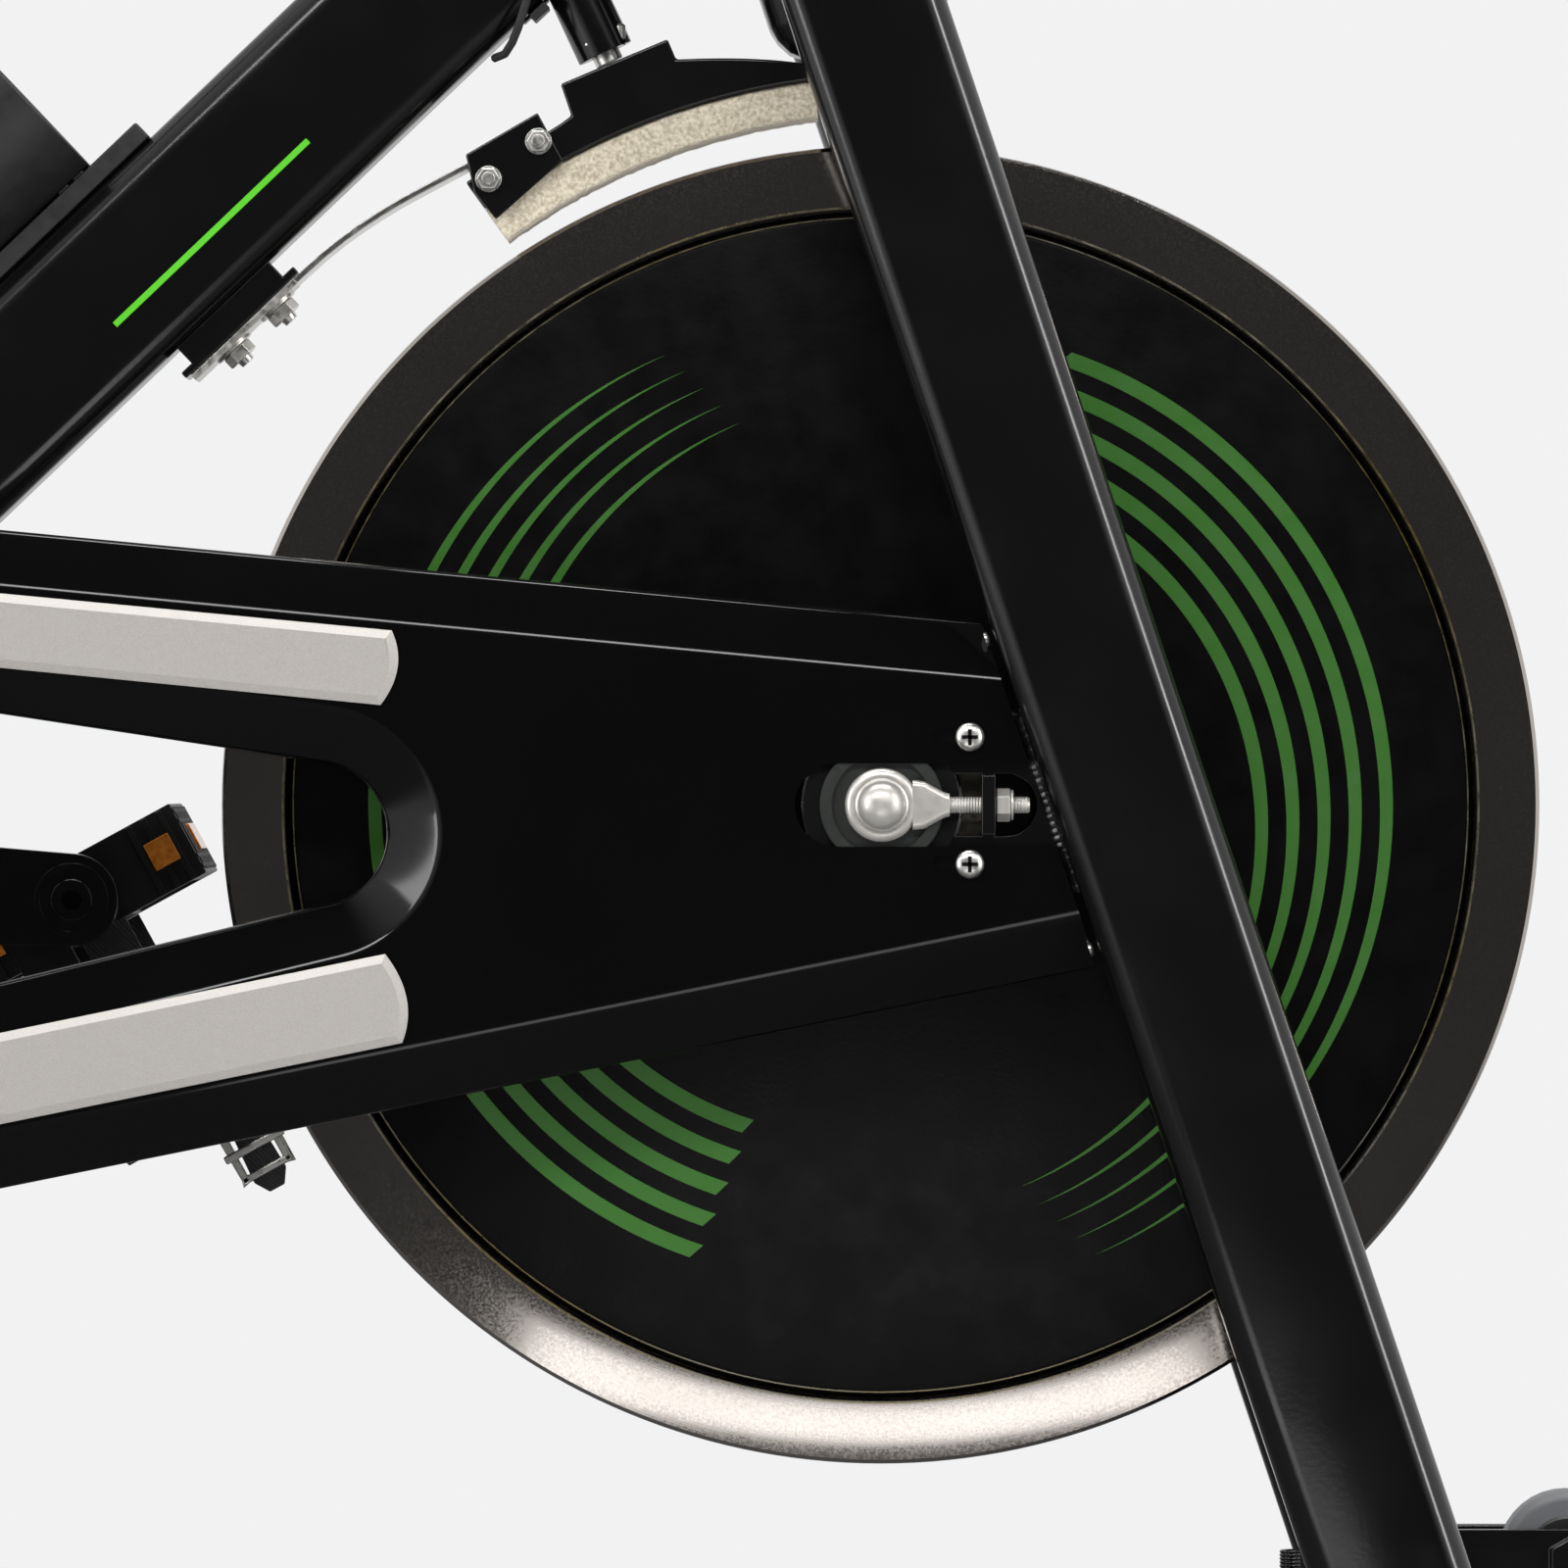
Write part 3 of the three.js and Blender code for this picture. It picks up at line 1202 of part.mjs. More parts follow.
place(
  bike,
  "brake_knob",
  cut(
    join(
      rod(at3(brakePoint(knobBase)), at3(brakePoint(knobBase + 12)), 13, 24),
      rod(at3(brakePoint(knobBase + 10)), at3(brakePoint(knobBase + 42)), 22, 28),
    ),
    rod(at3(brakePoint(knobBase - 5)), at3(brakePoint(BRAKE_TUBE_LENGTH + 34 + GAP)), ROD_R + GAP, 20),
  ),
  plastic,
);

// The shoe is drawn with the brake on, about the flywheel's axle, and lifted about the leaf's rear end.
const brakeLift = new THREE.Group();
brakeLift.position.set(LEAF_REAR[0], 0, LEAF_REAR[1]);
brakeLift.rotation.y = -BRAKE_LIFT * DEG;
bike.add(brakeLift);
const shoe = new THREE.Group();
shoe.position.set(-LEAF_REAR[0], 0, -LEAF_REAR[1]);
brakeLift.add(shoe);

function arcBand(innerR, outerR, from, to) {
  const shape = new THREE.Shape();
  shape.absarc(0, 0, outerR, (90 - to) * DEG, (90 - from) * DEG);
  shape.absarc(0, 0, innerR, (90 - from) * DEG, (90 - to) * DEG, true);
  return shape;
}
const padR = WHEEL_R + PAD_CLEARANCE;
const padTop = padR + PAD_THICKNESS;
place(
  shoe,
  "brake_pad",
  slab(arcBand(padR, padTop, PAD_FROM, PAD_TO), -SHOE_WIDTH / 2 + 2, SHOE_WIDTH / 2 - 2, 16),
  felt,
);
// The shoe's back thins towards its front end, and its block stands up under the brake rod.
const blockPoint = (angle, radius) => onLine([0, 0], 90 - angle, radius);
const shoeFrom = blockPoint(PAD_FROM, padTop + SHOE_THICKNESS);
const shoeShape = new THREE.Shape();
shoeShape.absarc(0, 0, padTop + GAP, (90 - PAD_FROM) * DEG, (90 - PAD_TO - 0.6) * DEG, true);
shoeShape.lineTo(...SHOE_NOSE);
shoeShape.quadraticCurveTo(...risen([-40, 253]), ...SHOE_BACK[3]);
for (const corner of SHOE_BACK.slice(0, 3).reverse()) shoeShape.lineTo(...corner);
shoeShape.lineTo(...blockPoint(-25, padTop + SHOE_THICKNESS));
shoeShape.lineTo(...shoeFrom);
place(shoe, "brake_shoe", slab(shoeShape, -SHOE_WIDTH / 2, SHOE_WIDTH / 2, 16), glossBlack);

// Leaf spring from the bracket under the main tube to the shoe's clip plate.
const leafCurve = new THREE.CatmullRomCurve3(
  [
    LEAF_REAR,
    LEAF_ROOT,
    ...[
      [-190, 195.2],
      [-172, 207.6],
      [-152, 218.6],
      [-138, 226],
    ].map(risen),
  ].map(([x, z]) => new THREE.Vector3(x, 0, z)),
);
place(
  bike,
  "leaf_spring",
  stripAlong(leafCurve, 14, LEAF_THICKNESS / 2, LEAF_WIDTH / 2),
  steel,
);

// ---------------------------------------------------------------- bottle holder on the main tube
const holderPoint = (along, up) => mainPoint(HOLDER_ALONG - along, MAIN.deep / 2 + GAP + up);
const holderRail = slab(
  polygon([holderPoint(-150, 0), holderPoint(0, 0), holderPoint(0, 7), holderPoint(-150, 7)]),
  -14,
  14,
);
const cageUp = 6 + BOTTLE_R + BOTTLE_WALL;
place(
  frame,
  "bottle_cage",
  join(
    holderRail,
    cut(
      rod(at3(holderPoint(-152, cageUp)), at3(holderPoint(-22, cageUp)), BOTTLE_R + BOTTLE_WALL, 36),
      rod(at3(holderPoint(-147, cageUp)), at3(holderPoint(20, cageUp)), BOTTLE_R, 36),
      slab(
        polygon([
          holderPoint(-128, BOTTLE_R + 16),
          holderPoint(-60, BOTTLE_R + 16),
          holderPoint(-60, 200),
          holderPoint(-128, 200),
        ]),
        -60,
        60,
      ),
    ),
  ),
  plastic,
);

// ---------------------------------------------------------------- speed sensor lead
// From a clip under the main tube, round its lower corner and up its side to the head tube.
place(
  frame,
  "sensor_lead",
  roundTube(
    [
      [-135, -11, 260.3],
      [-131, -15, 261.6],
      [-127.6, -20, 267],
      [-125, -23.6, 274],
      [-122.8, -23.6, 281],
      [-117, -23.2, 294],
      [-105, -23, 316],
      [-90, -23, 340],
      [-79, -23, 357],
    ].map(([x, y, z]) => [risen([x, z])[0], y, risen([x, z])[1]]),
    1.6,
    20,
    6,
  ),
  rubber,
);

// ---------------------------------------------------------------- stand the bike on its origin
const extent = new THREE.Box3().setFromObject(bike, true);
bike.position.set(-(extent.min.x + extent.max.x) / 2, -(extent.min.y + extent.max.y) / 2, AXLE_HEIGHT);

const object = new THREE.Group();
object.add(bike);
export default object;
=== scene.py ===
import math

import bmesh
import bpy
import numpy as np
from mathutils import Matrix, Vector
from mathutils.geometry import tessellate_polygon


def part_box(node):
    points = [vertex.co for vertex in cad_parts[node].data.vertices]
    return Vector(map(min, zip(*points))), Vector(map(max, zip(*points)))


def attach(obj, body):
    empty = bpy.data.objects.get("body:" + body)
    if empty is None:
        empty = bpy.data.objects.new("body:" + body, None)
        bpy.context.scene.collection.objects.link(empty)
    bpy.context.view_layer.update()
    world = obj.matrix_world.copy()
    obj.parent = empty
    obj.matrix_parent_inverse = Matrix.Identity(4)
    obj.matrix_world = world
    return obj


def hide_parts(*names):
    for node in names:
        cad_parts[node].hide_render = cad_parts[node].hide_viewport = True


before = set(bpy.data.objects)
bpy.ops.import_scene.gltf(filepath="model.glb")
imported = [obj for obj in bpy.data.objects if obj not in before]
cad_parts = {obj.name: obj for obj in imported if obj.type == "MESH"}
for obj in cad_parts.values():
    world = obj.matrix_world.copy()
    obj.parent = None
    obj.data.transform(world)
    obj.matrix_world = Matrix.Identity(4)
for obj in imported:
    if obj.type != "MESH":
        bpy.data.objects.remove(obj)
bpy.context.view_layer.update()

# ------------------------------------------------------------------ camera
# A long lens, square to the bike's right side and level with a point just behind the flywheel's axle.
wheel_low, wheel_high = (np.array(corner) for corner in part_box("flywheel"))
AXLE = (wheel_low + wheel_high) / 2  # middle of the flywheel, which every place below is measured from
MM = 0.001
aim = AXLE + np.array([-33.7, -11.0, 7.25]) * MM
camera_data = bpy.data.cameras.new("camera")
camera_data.sensor_width = 36.0
camera_data.lens = 296.2
camera_data.clip_end = 100.0
camera = bpy.data.objects.new("camera", camera_data)
camera.location = aim + np.array([0.0, -4.5, 0.0])
camera.rotation_euler = (math.radians(90), 0.0, 0.0)
bpy.context.scene.collection.objects.link(camera)
bpy.context.scene.camera = camera


# ------------------------------------------------------------------ studio
# A pale floor that fades out at its edge, a pale surround, and soft boxes above and at both sides.
def linear(colour):
    """An sRGB hex colour as linear red, green, blue and alpha 1."""
    parts = np.array([int(colour[i : i + 2], 16) / 255 for i in (1, 3, 5)])
    low = parts <= 0.04045
    return (*np.where(low, parts / 12.92, ((parts + 0.055) / 1.055) ** 2.4).tolist(), 1.0)


def add(tree, kind, inputs=None, **settings):
    """One node of that kind, with its settings, and with each input given a value or a socket to link."""
    node = tree.nodes.new(kind)
    for key, value in settings.items():
        setattr(node, key, value)
    for key, value in (inputs or {}).items():
        if isinstance(value, bpy.types.NodeSocket):
            tree.links.new(value, node.inputs[key])
        else:
            node.inputs[key].default_value = value
    return node


def maths(tree, operation, *values):
    """The result of one arithmetic node."""
    return add(tree, "ShaderNodeMath", dict(enumerate(values)), operation=operation).outputs[0]


def smooth_step(tree, value, start, end, first, last):
    """A value between start and end carried to the range from first to last, gently at both ends."""
    ranges = {0: value, 1: start, 2: end, 3: first, 4: last}
    return add(tree, "ShaderNodeMapRange", ranges, interpolation_type="SMOOTHSTEP").outputs[0]


def object_place(tree):
    """Where the shaded point lies in its object's own coordinates."""
    return add(tree, "ShaderNodeTexCoord").outputs["Object"]


scene = bpy.context.scene
scene.view_settings.view_transform = "Standard"
surround = bpy.data.worlds.new("surround")
scene.world = surround
surround.use_nodes = True
tree = surround.node_tree
tree.nodes.clear()
direction = add(tree, "ShaderNodeTexCoord").outputs["Generated"]
towards = add(tree, "ShaderNodeSeparateXYZ", {0: direction})
glow = smooth_step(tree, towards.outputs["Y"], 0.05, 0.85, 0.05, 0.75)
wings = smooth_step(tree, maths(tree, "ABSOLUTE", towards.outputs["X"]), 0.3, 0.75, 0.0, 1.0)
power = maths(tree, "MAXIMUM", glow, wings)
lit = add(tree, "ShaderNodeBackground", {"Color": (1, 1, 1, 1), "Strength": power})
seen = add(tree, "ShaderNodeBackground", {"Color": linear("#f2f2f3"), "Strength": 1.0})
is_camera = add(tree, "ShaderNodeLightPath").outputs["Is Camera Ray"]
both = add(tree, "ShaderNodeMixShader", {0: is_camera, 1: lit.outputs[0], 2: seen.outputs[0]})
add(tree, "ShaderNodeOutputWorld", {0: both.outputs[0]})


def new_material(name):
    """An empty node material and its tree."""
    made = bpy.data.materials.new(name)
    made.use_nodes = True
    made.node_tree.nodes.clear()
    return made, made.node_tree


def two_colours(tree, amount, first, second):
    """The two hex colours, mixed by a number from 0 to 1."""
    mix = add(tree, "ShaderNodeMix", {0: amount, 6: linear(first), 7: linear(second)}, data_type="RGBA")
    return mix.outputs[2]


floor_paint, tree = new_material("studio_floor")
far = add(tree, "ShaderNodeVectorMath", {0: object_place(tree)}, operation="LENGTH").outputs["Value"]
fade = smooth_step(tree, far, 0.75, 1.5, 0.0, 1.0)
is_mirrored = add(tree, "ShaderNodeLightPath").outputs["Is Glossy Ray"]
shade = two_colours(tree, is_mirrored, "#eeeeef", "#5a5a5b")
matt = add(tree, "ShaderNodeBsdfDiffuse", {"Color": shade})
clear = add(tree, "ShaderNodeBsdfTransparent")
both = add(tree, "ShaderNodeMixShader", {0: fade, 1: matt.outputs[0], 2: clear.outputs[0]})
add(tree, "ShaderNodeOutputMaterial", {0: both.outputs[0]})
FLOOR_R, FLOOR_DROP, FLOOR_SIDES = 1.6, 0.0005, 96  # metres; the drop keeps it just under the feet
turns = np.linspace(0, 2 * np.pi, FLOOR_SIDES, endpoint=False)
floor_rim = np.stack([FLOOR_R * np.cos(turns), FLOOR_R * np.sin(turns), np.full(FLOOR_SIDES, -FLOOR_DROP)], 1)
floor_mesh = bpy.data.meshes.new("studio_floor")
floor_mesh.from_pydata(floor_rim.tolist(), [], [list(range(FLOOR_SIDES))])
floor_mesh.materials.append(floor_paint)
floor = bpy.data.objects.new("studio_floor", floor_mesh)
scene.collection.objects.link(floor)

# Each lamp's name, place, target, size in metres and power in watts.
for name, place, target, size, power in (
    ("box_above", (0.1, 0.55, 2.6), (0.1, 0.3, 0.4), (2.2, 1.7), 30),
    ("box_right", (2.3, -1.5, 1.0), (0.25, 0.0, 0.4), (0.35, 1.9), 26),
    ("box_left", (-2.2, -1.6, 0.9), (0.1, 0.0, 0.4), (0.7, 1.9), 34),
    ("strip_top", (0.1, -0.3, 2.6), (0.1, 0.0, 0.4), (2.6, 0.22), 34),
    ("strip_front", (0.1, -2.3, 2.0), (0.1, 0.0, 0.4), (2.6, 0.4), 48),
    ("box_floor", (0.255, -1.05, 0.015), (0.255, -1.05, 1.0), (0.42, 0.8), 2.7),
):
    light = bpy.data.lights.new(name, "AREA")
    light.shape = "RECTANGLE"
    light.size, light.size_y = size
    light.energy = power
    lamp = bpy.data.objects.new(name, light)
    lamp.location = place
    lamp.rotation_euler = (Vector(target) - Vector(place)).to_track_quat("-Z", "Y").to_euler()
    lamp.visible_camera = False
    scene.collection.objects.link(lamp)


# ------------------------------------------------------------------ frame tubes
# Mild steel box section with rounded corners, welded and powder coated in gloss black.
# The coat lies in a faint orange peel, and its gloss shows as long thin lines along the corners.
def surface_shader(tree, colour, roughness, metallic=0.0, normal=None, **sockets):
    """A Principled surface joined to the material's output. Names in sockets use _ for a space."""
    values = {"Base Color": colour, "Roughness": roughness, "Metallic": metallic}
    if normal is not None:
        values["Normal"] = normal
    values.update({key.replace("_", " "): value for key, value in sockets.items()})
    shader = add(tree, "ShaderNodeBsdfPrincipled", values)
    add(tree, "ShaderNodeOutputMaterial", {0: shader.outputs[0]})
    return shader


def grain(tree, size_mm, detail=2.0, stretch=(1, 1, 1)):
    """Noise on Object coordinates whose lumps are about size_mm across."""
    spread = add(tree, "ShaderNodeVectorMath", {0: object_place(tree), 1: stretch}, operation="MULTIPLY")
    settings = {"Vector": spread.outputs[0], "Scale": 1000 / size_mm, "Detail": detail}
    return add(tree, "ShaderNodeTexNoise", settings).outputs[0]


def bump(tree, height, depth_mm, strength=1.0):
    """A bump of that depth, in millimetres, from a height between 0 and 1."""
    settings = {"Height": height, "Distance": depth_mm * MM, "Strength": strength}
    return add(tree, "ShaderNodeBump", settings).outputs[0]


def between(tree, amount, low, high):
    """The middle of a noise's range, 0.3 to 0.7, carried to the range from low to high."""
    return add(tree, "ShaderNodeMapRange", {0: amount, 1: 0.3, 2: 0.7, 3: low, 4: high}).outputs[0]


def coating(name, colours, gloss, relief=None, **sockets):
    """A material from three noises: colours is a lump size in mm and two hex colours, gloss a lump size
    and the roughness at both ends, and relief a lump size, the noise's detail and a depth in mm."""
    made, tree = new_material(name)
    lumps, *pair = colours
    if relief is not None:
        sockets["normal"] = bump(tree, grain(tree, *relief[:2]), relief[2])
    rough = between(tree, grain(tree, gloss[0]), *gloss[1:])
    surface_shader(tree, two_colours(tree, grain(tree, lumps), *pair), rough, **sockets)
    return made


powder_coat = coating(
    "gloss_black_powder_coat", (90, "#060606", "#0a0909"), (40, 0.13, 0.2), (2.2, 1.0, 0.012)
)


def turned(profile, origin, axis, sides=48):
    """A closed profile of (radius, distance along the axis) corners, turned about the axis through origin.
    Points are origin + distance * axis + radius * (cos t * u + sin t * v)."""
    profile = np.asarray(profile, float)
    axis = np.asarray(axis, float) / np.linalg.norm(axis)
    u = np.cross(axis, [0.0, 1.0, 0.0] if abs(axis[1]) < 0.9 else [1.0, 0.0, 0.0])
    u /= np.linalg.norm(u)
    v = np.cross(axis, u)
    t = np.linspace(0, 2 * np.pi, sides, endpoint=False)
    spokes = np.cos(t)[:, None] * u + np.sin(t)[:, None] * v
    rings = (
        np.asarray(origin, float)
        + profile[:, 1, None, None] * axis
        + profile[:, 0, None, None] * spokes[None]
    )
    return swept(rings, closed=True)


def swept(rings, closed=False):
    """Rings of points joined to a skin. Open ends are capped; a closed one joins its last to its first."""
    rings = np.asarray(rings, float)
    count, around = rings.shape[:2]
    i, j = np.meshgrid(np.arange(count if closed else count - 1), np.arange(around), indexing="ij")
    i2, j2 = (i + 1) % count, (j + 1) % around
    quads = np.stack([i * around + j, i2 * around + j, i2 * around + j2, i * around + j2], -1).reshape(-1, 4)
    faces = quads.tolist()
    if not closed:
        faces.append(list(range(around)))
        faces.append(list(range((count - 1) * around, count * around)))
    return rings.reshape(-1, 3), faces


def rounded_section(deep, wide, radius, steps=8):
    """The outline of a rounded rectangle, as across and sideways distances, from four quarter circles."""
    t = np.linspace(0, np.pi / 2, steps + 1)
    corners = [(1, 1, 0), (-1, 1, 1), (-1, -1, 2), (1, -1, 3)]
    parts = [
        np.stack(
            [
                sx * (deep / 2 - radius) + radius * np.cos(t + k * np.pi / 2),
                sy * (wide / 2 - radius) + radius * np.sin(t + k * np.pi / 2),
            ],
            1,
        )
        for sx, sy, k in corners
    ]
    return np.concatenate(parts)


def box_tube(start, end, section, y=0.0, level_end=None):
    """A bar of that section from start to end, both (x, z), cut square, or level at its end where asked."""
    start, end = np.asarray(start, float), np.asarray(end, float)
    run = (end - start) / np.linalg.norm(end - start)
    across = np.array([run[1], -run[0]])
    rings = []
    for point, level in ((start, None), (end, level_end)):
        flat = point[None] + section[:, :1] * across[None]
        if level is not None:
            flat = flat + ((level - flat[:, 1]) / run[1])[:, None] * run[None]
        rings.append(np.stack([flat[:, 0], y + section[:, 1], flat[:, 1]], 1))
    return swept(rings)


def block(x0, x1, y0, y1, z0, z1):
    """A plain block between six planes."""
    corners = np.array([[x, y, z] for x in (x0, x1) for y in (y0, y1) for z in (z0, z1)], float)
    return corners, [[0, 1, 3, 2], [4, 6, 7, 5], [0, 4, 5, 1], [2, 3, 7, 6], [0, 2, 6, 4], [1, 5, 7, 3]]


def prism(outline, y0, y1):
    """An outline of (x, z) points carried from y0 to y1."""
    outline = np.asarray(outline, float)
    return swept([np.stack([outline[:, 0], np.full(len(outline), y), outline[:, 1]], 1) for y in (y0, y1)])


def lying(part, move, towards, up=(0.0, 1.0, 0.0)):
    """A part turned so that its own x axis lies along towards and its own y axis near up, then moved."""
    x = np.asarray(towards, float) / np.linalg.norm(towards)
    z = np.cross(x, np.asarray(up, float))
    z /= np.linalg.norm(z)
    y = np.cross(z, x)
    return part[0] @ np.array([x, y, z]) + np.asarray(move, float), part[1]


def piece(name, parts, material, body="frame", nodes=(), **finish):
    """One object made of the parts, whose points are in millimetres from the flywheel's axle."""
    vertices, faces, start = [], [], 0
    for part_vertices, part_faces in parts:
        vertices.append(np.asarray(part_vertices, float))
        faces += [[start + k for k in face] for face in part_faces]
        start += len(part_vertices)
    mesh = bpy.data.meshes.new(name)
    mesh.from_pydata((np.concatenate(vertices) * MM + AXLE).tolist(), [], faces)
    return finish_mesh(name, mesh, material, body, nodes, **finish)


def finish_mesh(
    name, mesh, material, body, nodes, edge=0.0, segments=2, angle=30.0, subdivide=0, facing=None
):
    """The mesh as an object that rides on the body and replaces the nodes.
    Doubles are merged, faces turn outwards, and the edges sharper than angle are eased by edge mm.
    An open skin is turned so that its largest face looks towards facing."""
    clean = bmesh.new()
    clean.from_mesh(mesh)
    bmesh.ops.remove_doubles(clean, verts=clean.verts, dist=1e-6)
    bmesh.ops.dissolve_degenerate(clean, edges=clean.edges, dist=1e-7)
    bmesh.ops.recalc_face_normals(clean, faces=clean.faces)
    if facing is not None:
        largest = max(clean.faces, key=lambda face: face.calc_area())
        if largest.normal.dot(Vector(facing)) < 0:
            bmesh.ops.reverse_faces(clean, faces=clean.faces)
    clean.to_mesh(mesh)
    clean.free()
    mesh.shade_smooth()
    mesh.set_sharp_from_angle(angle=math.radians(angle))
    mesh.materials.append(material)
    made = bpy.data.objects.new(name, mesh)
    scene.collection.objects.link(made)
    if edge:
        ease = made.modifiers.new("eased_edges", "BEVEL")
        ease.width, ease.segments = edge * MM, segments
        ease.limit_method, ease.angle_limit = "ANGLE", math.radians(angle)
        ease.harden_normals = True
    if subdivide:
        smooth = made.modifiers.new("smooth", "SUBSURF")
        smooth.levels = smooth.render_levels = subdivide
    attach(made, body)
    if nodes:
        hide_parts(*nodes)
    return made


def eased(node, material, body="frame", edge=0.5, segments=2, angle=32.0):
    """A CAD node's own shape with its loose triangles merged and its sharp edges eased."""
    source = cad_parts[node]
    mesh = source.data.copy()
    mesh.transform(source.matrix_world)
    mesh.materials.clear()
    clean = bmesh.new()
    clean.from_mesh(mesh)
    bmesh.ops.remove_doubles(clean, verts=clean.verts, dist=1e-6)
    bmesh.ops.dissolve_limit(clean, angle_limit=math.radians(0.5), verts=clean.verts, edges=clean.edges)
    clean.to_mesh(mesh)
    clean.free()
    return finish_mesh(node + "_eased", mesh, material, body, [node], edge, segments, angle)


# The frame's lines, in millimetres from the flywheel's axle, with forward as x and up as z.
HEAD = np.array([-44.4, 391.9])  # where the fork's line and the main tube's meet
FOOT = -284.0  # the stabilisers' top


def way(degrees):
    """The unit direction at that angle above forward, as x and z."""
    return np.array([math.cos(math.radians(degrees)), math.sin(math.radians(degrees))])


fork_up, fork_across = way(108.5), way(18.5)
main_down, main_across = way(223.65), way(133.65)
seat_up, seat_across = way(107.0), way(17.0)
SEAT_BEHIND_HEAD = 470 - 44.4
seat_base = HEAD + main_down * SEAT_BEHIND_HEAD / math.cos(math.radians(43.65))


def on(origin, direction, distance, across=(0.0, 0.0), aside=0.0):
    """The (x, z) point at a distance along a line and aside from it."""
    return np.asarray(origin) + np.asarray(direction) * distance + np.asarray(across) * aside


def at_y(point, y=0.0):
    """An (x, z) point as x, y, z."""
    return np.array([point[0], y, point[1]])


leg_section = rounded_section(54, 30, 9)
foot_level = FOOT + 4.5
leg_low = HEAD + fork_up * ((foot_level - HEAD[1]) / fork_up[1])
for side, y in (("right", -60), ("left", 60)):
    piece(
        "fork_leg_" + side + "_tube",
        [box_tube(on(HEAD, fork_up, 28), leg_low, leg_section, y, level_end=foot_level)],
        powder_coat,
        nodes=["fork_leg_" + side],
        edge=1.2,
    )
main_low = HEAD + main_down * ((foot_level - HEAD[1]) / main_down[1])
PIN_BOSS = [(0, -1), (13, -1), (13, 22), (5.5, 22), (5.5, 10), (0, 10)]  # a pull pin's boss, turned
piece(
    "main_tube_bar",
    [box_tube(on(HEAD, main_down, 30), main_low, rounded_section(60, 40, 10), level_end=foot_level)],
    powder_coat,
    nodes=["main_tube"],
)
piece(
    "seat_tube_bar",
    [
        box_tube(on(seat_base, seat_up, 8), on(seat_base, seat_up, 300), rounded_section(56, 40, 9)),
        turned(PIN_BOSS, at_y(on(seat_base, seat_up, 222, seat_across, -28)), at_y(-seat_across)),
    ],
    powder_coat,
    nodes=["seat_tube"],
    edge=0.8,
)
crown = [
    box_tube(on(HEAD, fork_up, -70), on(HEAD, fork_up, 10), rounded_section(48, 23, 3, 3), side * 33.5)
    for side in (-1, 1)
]
HEAD_DEEP, HEAD_WIDE = 66, 46
head_section = rounded_section(HEAD_DEEP, HEAD_WIDE, 10)
head_rings = []
for along, shrink in ((110, 0), (-117, 0), (-122, 1.2), (-127, 4), (-130, 8), (-131.2, 14)):
    scale = np.array([1 - 2 * shrink / HEAD_DEEP, 1 - 2 * shrink / HEAD_WIDE])
    flat = on(HEAD, fork_up, along)[None] + (head_section[:, :1] * scale[0]) * fork_across[None]
    head_rings.append(np.stack([flat[:, 0], head_section[:, 1] * scale[1], flat[:, 1]], 1))
piece(
    "head_tube_bar",
    [
        swept(head_rings),
        *crown,
        turned(PIN_BOSS, at_y(on(HEAD, fork_up, 32, fork_across, 33)), at_y(fork_across)),
    ],
    powder_coat,
    nodes=["head_tube"],
    edge=0.6,
)
eased("bottom_bracket_shell", powder_coat)
for node in ("front_stabilizer", "rear_stabilizer"):
    eased(node, powder_coat, edge=0.9, angle=40)
for side in ("right", "left"):
    eased("axle_bracket_" + side, powder_coat, edge=0.5)
eased("brake_guide_tube", powder_coat)

# ------------------------------------------------------------------ weld beads
# Each joint is run round with MIG wire: a rounded bead of overlapping ripples under the same coat.
bead_coat, tree = new_material("coated_weld_bead")
surface_shader(
    tree,
    linear("#0b0a0a"),
    between(tree, grain(tree, 6), 0.22, 0.4),
    normal=bump(tree, grain(tree, 1.4, 3.0), 0.12),
)


def bead(route, radius, seed, ripple=2.6):
    """A bead along the route: a ring of points round each station, swelling once every ripple mm."""
    route = np.asarray(route, float)
    lengths = np.concatenate([[0], np.cumsum(np.linalg.norm(np.diff(route, axis=0), axis=1))])
    stations = np.arange(0, lengths[-1], ripple / 4)
    centre = np.stack([np.interp(stations, lengths, route[:, k]) for k in range(3)], 1)
    run = np.gradient(centre, axis=0)
    run /= np.linalg.norm(run, axis=1)[:, None]
    u = np.cross(run, [0.31, 0.87, 0.39])
    u /= np.linalg.norm(u, axis=1)[:, None]
    v = np.cross(run, u)
    chance = np.random.default_rng(seed)
    wander = np.interp(stations, lengths[-1] * np.linspace(0, 1, 24), chance.normal(0, 0.09, 24))
    size = radius * (1 + 0.12 * np.abs(np.sin(np.pi * stations / ripple)) + wander)
    t = np.linspace(0, 2 * np.pi, 10, endpoint=False)
    spokes = np.cos(t)[None, :, None] * u[:, None] + np.sin(t)[None, :, None] * v[:, None]
    return swept(centre[:, None] + size[:, None, None] * spokes)


def squared(angle):
    """A cosine or sine pulled out towards 1, so that the two draw a squared-off oval."""
    return np.sign(angle) * np.abs(angle) ** 0.35


def leg_back(z):
    """How far forward a leg's rear face is at that height."""
    return on(HEAD, fork_up, (z - HEAD[1]) / fork_up[1], (1, 0), -27 / fork_across[0])[0]


